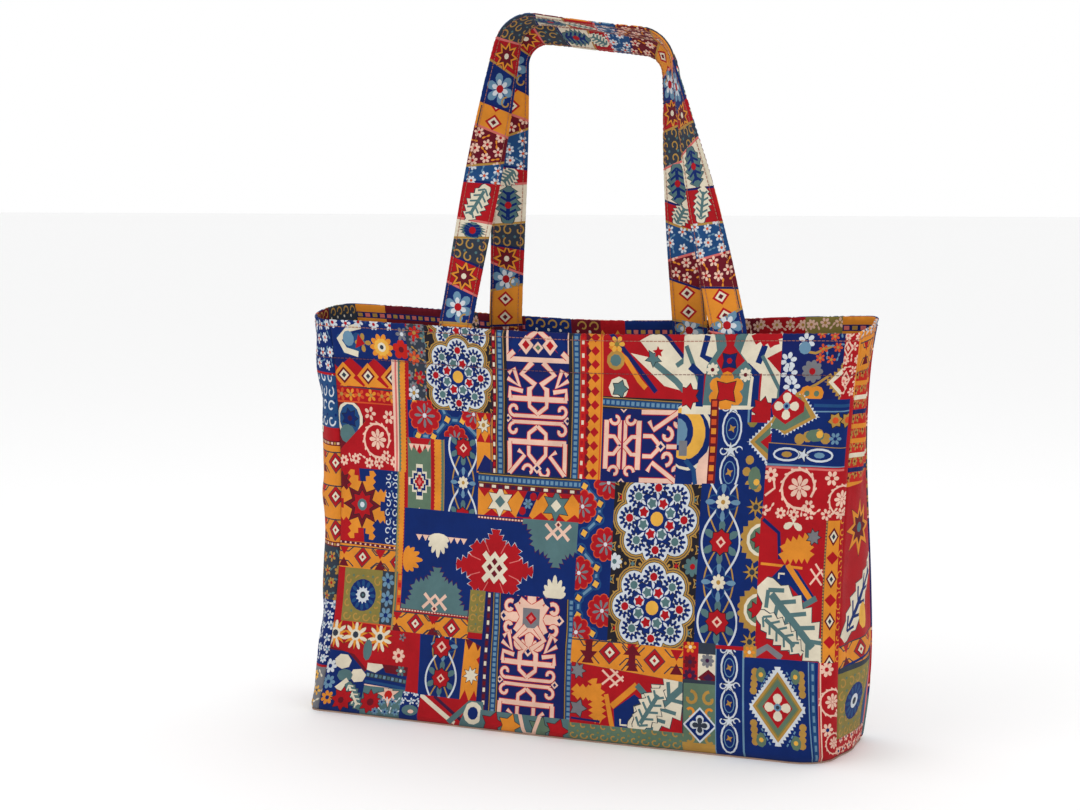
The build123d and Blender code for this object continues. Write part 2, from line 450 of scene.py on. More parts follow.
    def kilim(self, x0, y0, x1, y1, centres, tip=8.5):
        """Orange band with red stepped diamonds and dark hexagon lines."""
        middle, half = (y0 + y1) / 2, abs(y1 - y0) / 2
        for x, y in centres:
            for side in (-1, 1):
                self.line(
                    [
                        (x + side * 9, y + half), (x + side * 15, y + 4), (x + side * 24, y + 4),
                        (x + side * 29, y + half),
                    ],
                    1.1, "slate",
                )
                self.line(
                    [
                        (x + side * 9, y - half), (x + side * 15, y - 4), (x + side * 24, y - 4),
                        (x + side * 29, y - half),
                    ],
                    1.1, "slate",
                )
                self.shape(
                    [(x + side * 14, y - half), (x + side * 25, y - half), (x + side * 19.5, y - 1)],
                    "maroon",
                )
                self.shape(
                    [(x + side * 14, y + half), (x + side * 25, y + half), (x + side * 19.5, y + 1)],
                    "red",
                )
            self.diamond(x, y, tip + 1, tip + 1, "slate")
            self.diamond(x, y, tip, tip, "red")
            self.diamond(x, y, tip * 0.62, tip * 0.62, "maroon")
            self.diamond(x, y, tip * 0.5, tip * 0.5, "cream")
            self.diamond(x, y, tip * 0.2, tip * 0.2, "red")
        self.line([(x0, middle + half - 0.5), (x1, middle + half - 0.5)], 1, "slate")

    def arabesque(self, x, y0, y1, reach, pitch):
        """Crossing white vines over gold ogees, with red and cream flowers in turn."""
        count = int((y1 - y0) / 3)
        for dye, phase, breadth, share in (("gold", pi / 2, 1.3, 0.72), ("ice", 0.0, 1.7, 0.95)):
            for side in (-1, 1):
                path = []
                for i in range(count + 1):
                    y = y0 + (y1 - y0) * i / count
                    path.append((x + side * reach * share * sin(pi * (y - y0) / pitch + phase), y))
                self.line(path, breadth, dye)
        for k in range(int((y1 - y0) / pitch) + 2):
            y = y0 + k * pitch
            for dye, size in (("blue", 0.62), ("navy", 0.5)):
                for px, py in ring(x, y, reach * 0.42, 4, 0):
                    self.disc(px, py, reach * size * 0.55, dye, 10)
            self.petals(x, y, reach * 0.35, reach * 0.85, 4, reach * 0.12, "sky", 0)
            self.daisy(x, y, reach * 0.36, "cream", "gold", 8)
            middle = y + pitch / 2
            self.petals(x, middle, reach * 0.3, reach * 0.95, 6, reach * 0.16, "teal", 0.5)
            self.star(x, middle, reach * 0.55, reach * 0.44, 8, "red")
            self.diamond(x, middle, reach * 0.25, reach * 0.25, "blush")
            self.diamond(x, middle, reach * 0.13, reach * 0.13, "red")

    def serrated(self, points, dye, rim, tooth=5.0, depth=3.4):
        self.shape(saw(points, tooth, depth + 0.9), rim)
        self.shape(saw(points, tooth, depth), dye)

    def scrollwork(self, x, y, r, dye="blush"):
        """Pale flower wound in a leafy scroll."""
        self.petals(x, y, 0.12 * r, 0.62 * r, 8, 0.13 * r, dye)
        self.disc(x, y, 0.12 * r, dye, 8)
        path = []
        for i in range(15):
            away = r * (0.82 + 0.02 * i)
            angle = 0.42 * i - 0.6
            path.append((x + away * cos(angle), y + away * sin(angle)))
        self.line(path, 0.13 * r, dye)
        for i, (px, py) in enumerate(path[1:]):
            self.petals(px, py, 0, 0.24 * r, 1, 0.06 * r, dye, 0.42 * i + 0.9)
        self.daisy(path[-1][0], path[-1][1], 0.34 * r, dye, "red", 6)

    def sprays(self, x0, y0, x1, y1, pitch, dye, heart, seed=1, ground=None):
        """Small flowers and leaves scattered over a patch."""
        rng = np.random.default_rng(seed)
        y, j = y0 + pitch / 2, 0
        while y < y1:
            x = x0 + pitch * (0.5 if j % 2 else 0.1)
            while x < x1:
                px, py = x + rng.uniform(-1, 1) * pitch * 0.12, y + rng.uniform(-1, 1) * pitch * 0.12
                turn = rng.uniform(0, pi)
                self.daisy(px, py, pitch * 0.36, dye, heart, int(rng.integers(5, 8)), turn)
                self.petals(
                    px + pitch * 0.5, py + pitch * 0.2, 0, pitch * 0.3, 2, pitch * 0.07, ground or dye,
                    turn,
                )
                x += pitch
            y += pitch * 0.85
            j += 1

    def loops(self, x, y0, y1, reach):
        """White leafy loops on blue, with thin blue side lines."""
        for side in (-1, 1):
            self.line([(x + side * (reach + 2.5), y0), (x + side * (reach + 2.5), y1)], 1.6, "sky")
        count = max(round((y1 - y0) / 32), 1)
        pitch = (y1 - y0) / count
        for k in range(count):
            y = y0 + (k + 0.5) * pitch
            for stretch, dye, breadth in ((1.0, "ice", 1.5), (0.62, "sky", 0.8)):
                path = ring(x, y, reach * 0.72 * stretch, 14, 0.3, 1.75)
                self.line(path + path[:1], breadth, dye)
            self.star(x, y, reach * 0.34, reach * 0.14, 4, "gold", 0.5)
            self.star(x, y + pitch / 2, reach * 0.6, reach * 0.2, 5, "ice", 0.4)
            for side in (-1, 1):
                self.curl(x + side * reach * 0.6, y + pitch / 2, reach * 0.36, 0, side * 4.5, 1.0, "ice")

    def hooked(self, x, y, wide, upright=True):
        """Barred figure with hooks and corner triangles: one repeat, about 118 by 60."""

        def place(points):
            if upright:
                return [(x + px * wide, y + py) for px, py in points]
            return [(x - py, y + px * wide) for px, py in points]

        def scroll(px, py, radius, start, sweep):
            (cx, cy), = place([(px, py)])
            turn = 0 if upright else pi / 2
            self.curl(cx, cy, radius, start + turn, sweep, 2.5, "blush", "scarlet")

        for s in (-1, 1):
            self.bar(place([(0, 38), (s * 27, 38)]), 4.2)
            self.bar(place([(0, 3), (s * 27, 3)]), 4.2)
            self.bar(place([(0, 24), (s * 24, 24)]), 2.8)
            self.bar(place([(0, 19), (s * 24, 19)]), 2.8)
            scroll(s * 22, 29, 5.2, -pi / 2, s * 5.0)
            scroll(s * 22, 13, 5.2, pi / 2, -s * 5.0)
            self.diamond(*place([(s * 27.5, 21.5)])[0], 3.4, 3.4, "blush", "ink")
            self.bar(place([(s * 8, 36), (s * 8, 32), (0, 26)]), 3.2)
            self.bar(place([(s * 8, 5), (s * 8, 10), (0, 16)]), 3.2)
            self.bar(place([(s * 8, 0), (s * 8, -7), (0, -15)]), 3.2)
            self.bar(place([(s * 26, 3), (s * 26, -23)]), 3.6)
            self.bar(place([(s * 26, -23), (s * 12, -8), (s * 18, -4)]), 3.2)
            self.bar(place([(s * 26, 38), (s * 26, 46), (s * 14, 44)]), 3.4)
            self.bar(place([(s * 28, 54), (s * 17, 48), (s * 22, 62), (s * 27, 58)]), 3.4)
            self.bar(place([(s * 8, 40), (s * 8, 46), (s * 3, 50), (s * 15, 58), (s * 5, 68)]), 4.4)
            scroll(s * 8, -20, 5.6, pi, s * 4.2)
        self.diamond(*place([(0, -18)])[0], 4.4, 4.4, "blush", "ink")

    def hooked_star(self, x, y, r):
        """Stepped cross with scrolled arms round a grey square."""
        for a in range(4):
            angle = pi / 2 * a
            c, s = cos(angle), sin(angle)
            self.bar([(x, y), (x + c * r * 0.95, y + s * r * 0.95)], r * 0.3)
            for side in (-1, 1):
                px, py = x + c * r * 0.55 - s * side * r * 0.42, y + s * r * 0.55 + c * side * r * 0.42
                self.bar([(x + c * r * 0.3, y + s * r * 0.3), (px, py)], r * 0.17)
                self.curl(
                    x + c * r * 0.78 - s * side * r * 0.3, y + s * r * 0.78 + c * side * r * 0.3,
                    r * 0.2, angle + side * 2.2, -side * 5, r * 0.12, "blush", "scarlet",
                )
            self.diamond(x + c * r, y + s * r, r * 0.17, r * 0.17, "blush", "ink")
        self.box(x - r * 0.42, y - r * 0.42, x + r * 0.42, y + r * 0.42, "blush")
        self.box(x - r * 0.3, y - r * 0.3, x + r * 0.3, y + r * 0.3, "grey")
        self.diamond(x, y, r * 0.2, r * 0.2, "red", "pink")

    def leafy(self, ax, ay, bx, by, breadth, dye="cream", heart="teal"):
        """Large jagged leaf with a jagged heart, from its stalk to its tip."""
        length = hypot(bx - ax, by - ay)
        cx, cy = (bx - ax) / length, (by - ay) / length
        steps = 6

        def place(along, across):
            return ax + cx * along * length - cy * across, ay + cy * along * length + cx * across

        def reach(t):
            return breadth * sin(pi * min(t * 0.9 + 0.08, 1)) ** 0.6

        for swell, colour in ((0.9, "slate"), (0.0, dye)):
            points = [
                place(i / steps + 0.05 * j, reach(i / steps) * (0.66, 1)[j] + swell)
                for i in range(steps + 1) for j in (0, 1)
            ]
            points += [
                place(i / steps + 0.05 * j, -reach(i / steps) * (0.66, 1)[j] - swell)
                for i in range(steps, -1, -1) for j in (1, 0)
            ]
            self.shape(points, colour)
        self.line([place(0.16, 0), place(0.86, 0)], breadth * 0.3, heart)
        for i in range(1, steps):
            t = i / steps
            for side in (-1, 1):
                self.line(
                    [place(t - 0.06, 0), place(t + 0.06, side * reach(t) * 0.66)], breadth * 0.17,
                    heart,
                )

    def chevrons(self, x0, x1, y, high, pitch, dye, up=True):
        """Row of triangles along an edge."""
        x = x0
        tip = y + high if up else y - high
        while x < x1:
            base = [(x, y), (x + pitch, y), (x + pitch / 2, tip)]
            self.shape(base if up else base[::-1], dye)
            x += pitch

    def swirls(self, x0, y0, x1, y1, pitch, dye, dots):
        """Even scrolls with dots between them."""
        y, j = y0 + pitch / 2, 0
        while y < y1:
            x = x0 + pitch / 2
            while x < x1:
                side = 1 if (j % 2) else -1
                self.curl(x, y, pitch * 0.42, 0.5 * j, side * 5.2, pitch * 0.13, dye)
                self.disc(x + pitch * 0.45, y + pitch * 0.4, pitch * 0.12, dots, 7)
                x += pitch
            y += pitch
            j += 1


def sampler(cut, x0, y0, x1, y1, kind, seed):
    """Fills one patch with one of the cloth's recurring prints."""
    w, h = x1 - x0, y1 - y0
    cx, cy = (x0 + x1) / 2, (y0 + y1) / 2
    if kind == 0:
        cut.block(x0, y0, x1, y1, "night")
        cut.lattice(x0, y0, x1, y1, 13)
        cut.rosette(cx, cy, min(w, h) * 0.5)
    elif kind == 1:
        cut.block(x0, y0, x1, y1, "ink")
        for k in range(int(h / 118) + 1):
            cut.hooked(cx, y0 + 24 + 118 * k, min(w / 64, 1.1))
    elif kind == 2:
        cut.block(x0, y0, x1, y1, "orange")
        for k in range(max(int(h / 22), 1)):
            y = y0 + (k + 0.5) * h / max(int(h / 22), 1)
            cut.kilim(x0, y - 9, x1, y + 9, [(x, y) for x in np.arange(x0 + 10, x1 + 20, 38)])
    elif kind == 3:
        cut.block(x0, y0, x1, y1, "red")
        for k in range(max(int(h / 46), 1)):
            for m in range(max(int(w / 46), 1)):
                cut.scrollwork(
                    x0 + (m + 0.5) * w / max(int(w / 46), 1), y0 + (k + 0.5) * h / max(int(h / 46), 1),
                    15,
                )
        cut.sprays(x0, y0, x1, y0 + 12, 12, "blush", "red", seed)
    elif kind == 4:
        cut.block(x0, y0, x1, y1, "navy")
        cut.arabesque(cx, y0, y1, min(w * 0.42, 17), 34)
    elif kind == 5:
        cut.block(x0, y0, x1, y1, "navy")
        reach = min(w, h) * 0.3
        star = []
        for i in range(16):
            r = reach * (1.0 if i % 2 == 0 else 0.66)
            star.append((cx + r * cos(pi * i / 8), cy + r * sin(pi * i / 8)))
        cut.serrated(star, "red", "pink")
        cut.daisy(cx, cy, reach * 0.5, "cream", "maroon", 8)
        for sx, sy, turn in ((x0, cy, 0), (x1, cy, pi), (cx, y0, pi / 2), (cx, y1, -pi / 2)):
            cut.petals(sx, sy, 0, 18, 5, 4, "teal" if turn in (0, pi) else "cream", turn)
    elif kind == 6:
        cut.block(x0, y0, x1, y1, "red")
        cut.leafy(x0 + 4, y0 + 6, x1 - 4, y1 - 6, min(w, h) * 0.28)
        cut.sprays(x0, y1 - 16, x1, y1, 13, "orange", "navy", seed)
    elif kind == 7:
        cut.block(x0, y0, x1, y1, "navy")
        cut.shape(
            saw(
                [(cx - w * 0.4, cy), (cx, cy - h * 0.42), (cx + w * 0.4, cy), (cx, cy + h * 0.42)], 4.5,
                2.6,
            ),
            "ice",
        )
        cut.diamond(cx, cy, w * 0.37, h * 0.38, "gold", "sage", "sage", "red", "red")
        cut.daisy(cx, cy, min(w, h) * 0.16, "cream", "sky", 4)
    else:
        cut.block(x0, y0, x1, y1, "slate")
        cut.sprays(x0, y0, x1, y1, 13, "gold", "red", seed, "teal")


def quilted(width, height, seed, columns):
    """A cut piece filled with patches of the cloth's recurring prints, by a seeded layout."""
    cut = Cut(width, height, "red")
    rng = np.random.default_rng(seed)
    kinds = list(rng.permutation(9))
    x, turn = 0.0, 0
    for k in range(columns):
        x1 = width if k == columns - 1 else x + width / columns * rng.uniform(0.8, 1.2)
        y = 0.0
        while y < height:
            y1 = min(y + rng.uniform(38, 92), height)
            if height - y1 < 22:
                y1 = height
            sampler(cut, x, y, x1, y1, int(kinds[turn % 9]), seed + turn)
            cut.block(x, y, x1, min(y + 4, y1), "maroon")
            cut.beads(x, y + 2, x1, y + 2, 3.2, 3.4, "maroon", "blush", "gold")
            y = y1
            turn += 1
            if turn % 9 == 0:
                kinds = list(rng.permutation(9))
        if k < columns - 1:
            cut.block(x1 - 5, 0, x1 + 5, height, "night")
            cut.chain(x1, 0, x1, height, 5)
        x = x1
    cut.patch_fence = cut.fence
    return cut


def front_left(c):
    """Left third of the front: narrow florals over a serrated star, an olive square and star flowers."""
    c.block(0, 300, 62, 370, "navy")
    c.petals(18, 314, 0, 13, 5, 4, "blue", 0.4)
    c.line([(30, 327), (18, 324), (8, 315), (13, 306), (25, 303)], 5.2, "cream")
    c.disc(17, 316, 5.5, "sky", 10, 1.2)
    c.daisy(31, 313, 8, "gold", "teal", 4)
    c.shape([(23, 308), (27, 320), (33, 312)], "red")
    for r, dye in ((11.5, "orange"), (7.5, "yellow")):
        c.petals(49, 310, 2, r, 10, 2.4, dye)
    c.disc(49, 310, 4, "cream", 10)
    c.disc(49, 310, 2, "slate", 8)
    c.sprays(0, 322, 62, 370, 14, "ice", "red", 4, "blue")
    c.block(60, 298, 77, 370, "navy")
    for px, py in ring(68, 309, 5, 5, 0.3):
        c.disc(px, py, 3.6, "scarlet", 9)
    c.disc(68, 309, 2.6, "maroon", 8)
    c.daisy(70, 322, 6, "grey", "ice", 6)
    c.block(0, 275, 60, 300, "red")
    c.chevrons(-8, 66, 300, 9, 24, "ink", False)
    c.chevrons(4, 66, 276, 8, 24, "orange")
    for x in (9, 33, 57):
        c.diamond(x, 285, 11, 11, "orange")
        c.diamond(x, 285, 7, 7, "maroon", "cream", "slate")
    c.block(0, 262, 58, 275.5, "red")
    for i, x in enumerate((5, 14, 23, 35, 46, 55)):
        c.daisy(x, 269, 5.6, "orange" if i % 2 else "coral", "gold", 5, i)
    c.line([(0, 276), (60, 274)], 1.4, "slate")
    c.line([(0, 263), (58, 262)], 1.6, "coral")
    c.block(0, 208, 58, 262, "red")
    c.scrollwork(40, 233, 14)
    c.sprays(2, 208, 58, 222, 13, "blush", "red", 9)
    c.daisy(33, 254, 6, "blush", "red", 5)
    c.daisy(52, 252, 6, "blush", "red", 6)
    c.patch([(0, 222), (28, 247), (20, 262), (0, 262)], "maroon")
    c.disc(12, 248, 13.5, "cream", 12, 1.15)
    c.disc(12, 248, 10.5, "blue", 12, 1.25)
    c.star(12, 249, 8, 5, 7, "navy")
    c.disc(12, 249, 2.4, "plum", 8)
    c.disc(9, 236, 8, "teal", 10)
    c.line([(3, 223), (29, 247)], 1.8, "coral")
    c.block(0, 146, 62, 208, "navy")
    c.patch([(0, 146), (26, 146), (20, 208), (0, 208)], "red")
    c.star(2, 196, 8, 5, 8, "maroon")
    c.patch_fence = [(0, 146), (50, 146), (50, 208), (0, 208)]
    for i in range(8):
        angle = pi / 8 + pi / 4 * i
        tip = (23 + 31 * cos(angle), 178 + 31 * sin(angle))
        side = (23 + 15 * cos(angle - 0.38), 178 + 15 * sin(angle - 0.38))
        other = (23 + 15 * cos(angle + 0.38), 178 + 15 * sin(angle + 0.38))
        c.shape(saw([(23, 178), side, tip, other], 6, 3.0), "orange")
    c.star(23, 178, 19, 11, 8, "maroon")
    c.star(23, 178, 12, 8, 8, "red")
    c.disc(23, 178, 5, "teal", 10)
    c.disc(23, 178, 2.4, "ice", 8)
    c.block(48, 146, 61, 208, "navy")
    c.swirls(47, 147, 62, 208, 7.5, "ice", "sky")
    c.block(0, 124, 60, 147, "orange")
    c.kilim(0, 126, 60, 143, [(25, 134.5), (63, 133)], 8)
    c.beads(0, 146, 60, 144.5, 2.4, 2.6, "maroon", "blush", "plum")
    c.block(0, 80, 60, 125, "red")
    c.block(8, 80, 48, 125, "olive")
    c.swirls(8, 80, 48, 125, 10, "gold", "sage")
    c.disc(28, 103, 16, "olive", 20)
    c.disc(28, 103, 13.5, "navy", 20)
    c.petals(28, 103, 6, 13, 12, 1.6, "blue")
    c.disc(28, 103, 6, "ice", 14)
    c.petals(28, 103, 2, 7.4, 12, 0.9, "ice")
    c.disc(28, 103, 3, "slate", 10)
    c.disc(28, 103, 1.2, "teal", 6)
    c.block(47.5, 80, 60, 125, "slate")
    for y in (117, 102, 88):
        c.daisy(53.5, y, 7, "sky", "navy", 6, y)
    c.block(0, 44, 80, 80, "red")
    for x in (4, 25, 50):
        c.star(x, 69, 13, 7, 14, "orange", 0.2)
        c.petals(x, 68, 3, 12.5, 7, 1.6, "cream", pi + 0.2)
        c.disc(x, 69, 5, "cream", 10)
        c.disc(x, 69, 3, "slate", 8)
    c.disc(39, 57, 4.6, "teal", 10, 2.0)
    c.daisy(71, 55, 6.5, "blush", "red", 7)
    c.daisy(73, 71, 3.6, "grey", "slate", 5)
    c.line([(0, 81), (60, 79)], 1.2, "coral")
    c.patch([(0, 0), (41, 0), (41, 40), (26, 52), (0, 57)], "navy")
    c.line([(0, 57), (20, 56), (41, 40)], 5, "maroon")
    c.disc(16, 45, 8.5, "cream", 7, 0.8)
    c.disc(33, 34, 8.5, "cream", 6, 0.75)
    c.disc(20, 33, 8, "teal", 8, 0.7)
    c.shape([(12, 22), (22, 31), (31, 22), (24, 14)], "cream")
    c.leafy(24, 27, 40, 5, 7, "teal", "cream")
    for x, y, dye in ((4, 40, "ice"), (5, 26, "sky"), (7, 12, "orange")):
        c.daisy(x, y, 6.5, dye, "navy", 7)
    c.star(22, 12, 11, 7, 8, "red")
    c.disc(21, 11, 3, "maroon", 7)
    c.block(41, 25, 82, 46, "navy")
    c.shape([(41, 47), (62, 47), (50, 38), (41, 40)], "cream")
    c.shape([(55, 47), (82, 47), (82, 38), (60, 39)], "maroon")
    c.daisy(75, 42, 5, "teal", "cream", 6)
    c.beads(41, 36, 82, 33, 4.4, 4, "slate", "sky", "teal")
    c.line([(41, 30), (82, 27)], 2.4, "blue")
    c.line([(41, 27), (82, 24.5)], 1.2, "blush")
    c.block(41, 0, 82, 26, "teal")
    c.patch([(41, 26), (41, 0), (82, 0), (82, 25)], "teal")
    c.star(50, 12, 11, 7, 9, "red", 0.3)
    c.disc(50, 12, 3.4, "maroon", 8)
    c.star(66, 20, 11, 5, 7, "blush", 0.4)
    c.disc(66, 20, 4, "scarlet", 8)
    c.sprays(56, 0, 82, 14, 10, "sky", "navy", 3, "ice")


def front_stripes(c):
    """Scalloped stripes, the green step diamond and the first vine column."""
    c.block(57, 208, 75, 300, "blush")
    c.line([(59.4, 208), (61, 300)], 1.8, "pink")
    c.line([(63.5, 208), (65, 300)], 3.4, "sage")
    c.line([(68, 208), (69.5, 300)], 4.4, "orange")
    c.scallops(65.2, 209, 66.8, 299, 1.8, "orange")
    c.line([(72.6, 208), (74, 300)], 4.8, "red")
    c.scallops(70.3, 209, 71.8, 299, 1.7, "red")
    c.block(60, 76, 71, 208, "sage")
    c.line([(61, 76), (62, 208)], 1.2, "gold")
    c.line([(66.5, 76), (66.5, 208)], 5, "orange")
    c.scallops(64, 127, 64, 207, 1.8, "orange")
    c.line([(70, 100), (70, 208)], 2.4, "red")
    c.scallops(68.6, 84, 68.6, 207, 1.5, "red")
    c.beads(66, 80, 66, 124, 5, 6, "coral", "orange", "scarlet")
    c.block(74, 262, 98, 370, "slate")
    c.sprays(74, 262, 98, 370, 12, "grey", "red", 12, "gold")
    for x, y, dye in (
        (82, 324, "scarlet"), (93, 321, "teal"), (80, 303, "coral"), (85, 287, "red"), (79, 274, "ice"),
    ):
        c.daisy(x, y, 6, dye, "gold", 6, x)
    c.block(72, 236, 142, 268, "navy")
    c.trellis(
        [(111, 254), (126, 254), (82, 239), (97, 239), (80, 268), (104, 268)],
        [
            (97, 239, 111, 254), (82, 239, 97, 239), (111, 254, 126, 254), (104, 268, 111, 254),
            (126, 254, 140, 243),
        ],
    )
    c.aster(89, 256, 15.5)
    c.aster(137, 260, 12, 0.3)
    c.aster(119, 238, 12, 0.2)
    c.block(71, 158, 95, 237, "sage")
    c.shape([(72, 237), (94, 237), (90, 230), (83, 224), (76, 230)], "red")
    c.chevrons(72, 94, 232, 6, 5.5, "blush", False)
    for wide, high, dye in (
        (11, 14.5, "cream"), (9, 11.5, "navy"), (6.2, 8, "cream"), (4.6, 6, "red"), (2, 2.6, "pink"),
    ):
        step = []
        for qx, qy in ((1, 1), (-1, 1), (-1, -1), (1, -1)):
            corner = [
                (wide, 0.22 * high), (0.66 * wide, 0.22 * high), (0.66 * wide, 0.6 * high),
                (0.3 * wide, 0.6 * high), (0.3 * wide, high),
            ]
            order = corner if qx * qy > 0 else corner[::-1]
            step += [(82.5 + qx * px, 201 + qy * py) for px, py in order]
        c.shape(step, dye)
    c.shape([(72, 158), (94, 158), (94, 164), (82.5, 180), (72, 164)], "blush")
    c.block(94, 158, 108, 237, "red")
    c.line([(101, 158), (101, 237)], 4, "orange")
    c.scallops(99, 158, 99, 237, 1.8, "orange")
    c.line([(105, 158), (105, 237)], 4, "sage")
    c.scallops(103, 158, 103, 237, 1.6, "orange")
    c.line([(107.3, 158), (107.3, 237)], 1, "gold")
    c.block(107.5, 158, 142, 240, "navy")
    c.arabesque(126.5, 147, 245, 15, 56.5)
    c.block(140, 213, 157, 274, "orange")
    c.chevrons(140, 157, 262, 9, 8.5, "red", False)
    c.chevrons(140, 157, 238, 8, 8.5, "red")
    c.star(147, 252, 6.5, 3.5, 7, "cream")
    c.disc(147, 252, 2, "gold", 7)
    c.shape([(140, 214), (157, 214), (157, 222), (148, 228)], "ink")
    c.line([(154.5, 213), (154.5, 274)], 1, "slate")
    c.block(92, 262, 157, 370, "night")
    c.lattice(92, 262, 157, 335, 13)
    c.rosette(127, 338, 30)
    c.rosette(123, 290, 32)
    c.aster(88, 262, 10)


def front_middle(c):
    """Hooked panels, chains, the navy field with its serrated medallion, and the lower vine."""
    c.block(156, 213, 243, 370, "ink")
    for s in (0, 1):
        c.hooked(198.5, 238 + 118 * s, 1.0)
    c.box(168, 306, 230, 332, "blush")
    c.box(172, 310, 226, 332, "ink")
    c.bar([(172, 310), (198, 332)], 4)
    c.bar([(226, 310), (200, 332)], 4)
    for x, dye in ((179, "navy"), (219, "navy"), (188, "blush"), (210, "blush")):
        c.diamond(x, 320, 7, 8, dye, "red" if dye == "blush" else dye)
    c.diamond(199, 318, 5, 5, "blush", "sage")
    for x in (163.5, 234):
        c.block(x - 7, 213, x + 6.5, 370, "night")
        c.chain(x, 213, x, 370, 5)
    c.block(156, 213, 159.6, 370, "maroon")
    c.beads(157.8, 213, 157.8, 370, 3.2, 5.4, "maroon", "cream", "red")
    c.block(237.5, 213, 243, 370, "red")
    c.beads(240, 213, 240, 370, 3.6, 5.4, "scarlet", "cream", "red")
    c.block(243, 213, 259, 370, "orange")
    c.scallops(243, 213, 243, 370, 2.6, "red")
    for k in range(14):
        c.diamond(251, 219 + 10.9 * k, 4, 4, "red")
        c.diamond(244, 219 + 10.9 * k, 3.5, 4, "maroon")
    c.line([(256.5, 213), (256.5, 370)], 1.2, "coral")
    c.block(142, 200, 242, 214, "slate")
    c.chain(140, 209, 242, 209, 5)
    c.beads(142, 203, 242, 203, 3.6, 6, "maroon", "cream", "plum")
    c.block(142, 178, 242, 201, "orange")
    c.chevrons(142, 242, 201, 7, 13, "red", False)
    c.chevrons(148, 242, 179, 6, 16, "red")
    for x, dye, heart in ((164, "cream", "teal"), (218, "teal", "cream")):
        c.star(x, 191, 13, 7, 6, dye, 0.5)
        c.diamond(x, 191, 5, 5, heart)
    c.patch([(180, 180), (192, 180), (202, 201), (190, 201)], "ink")
    c.disc(186, 185, 3.4, "red", 8)
    c.daisy(191, 191, 4.5, "sky", "teal", 6)
    c.disc(196, 197, 3.4, "red", 8)
    c.block(68, 94, 242, 179, "navy")
    c.beads(142, 177, 242, 177, 2.2, 3, "maroon", "blush")
    c.chevrons(80, 128, 158, 5, 6.5, "blush", False)
    star = []
    for i in range(16):
        r = 36 if i % 4 == 0 else (29 if i % 2 == 0 else 23)
        star.append((161 + 1.08 * r * cos(pi * i / 8), 137 + 0.86 * r * sin(pi * i / 8)))
    c.serrated(star, "red", "ice", 5.2, 3.8)
    for i in range(8):
        angle = pi / 8 + pi / 4 * i
        c.line(
            [
                (161 + 16 * cos(angle), 137 + 13 * sin(angle)),
                (161 + 27 * cos(angle), 137 + 21 * sin(angle)),
            ],
            0.8, "pink",
        )
    for i in range(4):
        angle = pi / 4 + pi / 2 * i
        c.line([(161, 137), (161 + 16 * cos(angle), 137 + 16 * sin(angle))], 5, "cream")
    for i in range(4):
        angle = pi / 2 * i
        c.diamond(161 + 8 * cos(angle), 137 + 8 * sin(angle), 5.4, 5.4, "cream")
        c.diamond(161 + 5 * cos(angle), 137 + 5 * sin(angle), 3.2, 3.2, "maroon")
    c.disc(161, 137, 2.2, "cream", 6)
    for x, y, side in ((103, 95, 1), (221, 179, -1)):
        leaf = [
            (x - 34, y), (x - 25, y + side * 8), (x - 22, y + side * 22), (x - 8, y + side * 26),
            (x, y + side * 37),
        ]
        leaf += [(x + 8, y + side * 26), (x + 22, y + side * 22), (x + 25, y + side * 8), (x + 34, y)]
        c.serrated(leaf if side < 0 else leaf[::-1], "teal", "maroon", 5.0, 3.6)
        c.line([(x - 12, y + side * 3), (x, y + side * 14), (x + 12, y + side * 3)], 3, "blush")
        c.line([(x - 11, y + side * 15), (x, y + side * 5), (x + 11, y + side * 15)], 3, "blush")
        c.diamond(x, y + side * 3, 3.5, 3.5, "blush", "maroon")
    for x, y, turn, dye in (
        (103, 160, -pi / 2, "cream"), (221, 116, pi / 2, "cream"), (68, 137, 0.0, "orange"),
    ):
        for k in range(-3, 4):
            reach = 20 - 2.6 * abs(k)
            c.petals(x, y, 0, reach, 1, 2.4, dye, turn + 0.36 * k)
    c.beads(68, 94.6, 140, 93.8, 2.4, 2.8, "maroon", "blush")
    c.block(62, 76, 139, 93, "orange")
    c.kilim(62, 76, 139, 93, [(85, 84), (122, 83.5)], 8)
    c.block(138, 82, 153, 117, "olive")
    c.swirls(138, 82, 153, 117, 8, "gold", "sage")
    c.patch([(95, 24), (139, 24), (139, 76), (91, 76)], "navy")
    c.arabesque(116.5, 12, 96, 16, 56.5)
    c.star(114, 67, 9.5, 7.5, 8, "red")
    c.diamond(114, 67, 5, 5, "blush", "red")
    c.block(137, 22, 156, 77, "orange")
    c.chevrons(137, 156, 76, 9, 9, "maroon", False)
    c.chevrons(137, 156, 23, 10, 9, "red")
    c.shape([(138, 77), (156, 77), (156, 70)], "ink")
    c.star(146, 46, 7.5, 4, 8, "cream", 0.2)
    c.shape([(150, 60), (156, 66), (156, 52)], "red")
    c.block(153, 15, 242, 117, "ink")
    c.hooked_star(200, 99, 27)
    c.hooked(200, 24, 0.95)
    c.beads(157, 117, 160, 15, 3.8, 5.6, "plum", "cream", "maroon")
    c.chain(165, 117, 169, 15, 4.6)
    c.chain(237.5, 117, 239.5, 15, 4.6)
    c.patch([(80, 0), (100, 0), (100, 24), (80, 25)], "navy")
    c.disc(90, 9, 8, "teal", 12, 0.6)
    c.disc(91, 8, 3, "blush", 8, 0.6)
    c.sprays(80, 12, 102, 25, 9, "ice", "sky", 2)
    c.patch([(98, 0), (152, 0), (150, 24), (98, 24)], "red")
    c.line([(98, 24), (134, 2)], 4, "cream")
    c.line([(112, 24), (146, 2)], 3, "plum")
    c.line([(128, 2), (150, 24)], 5, "teal")
    c.patch([(138, 0), (162, 0), (160, 24), (146, 24)], "teal")
    c.disc(151, 13, 9, "cream", 12, 1.15)
    c.disc(151, 13, 5, "navy", 10, 1.2)
    c.block(158, 0, 246, 17, "teal")
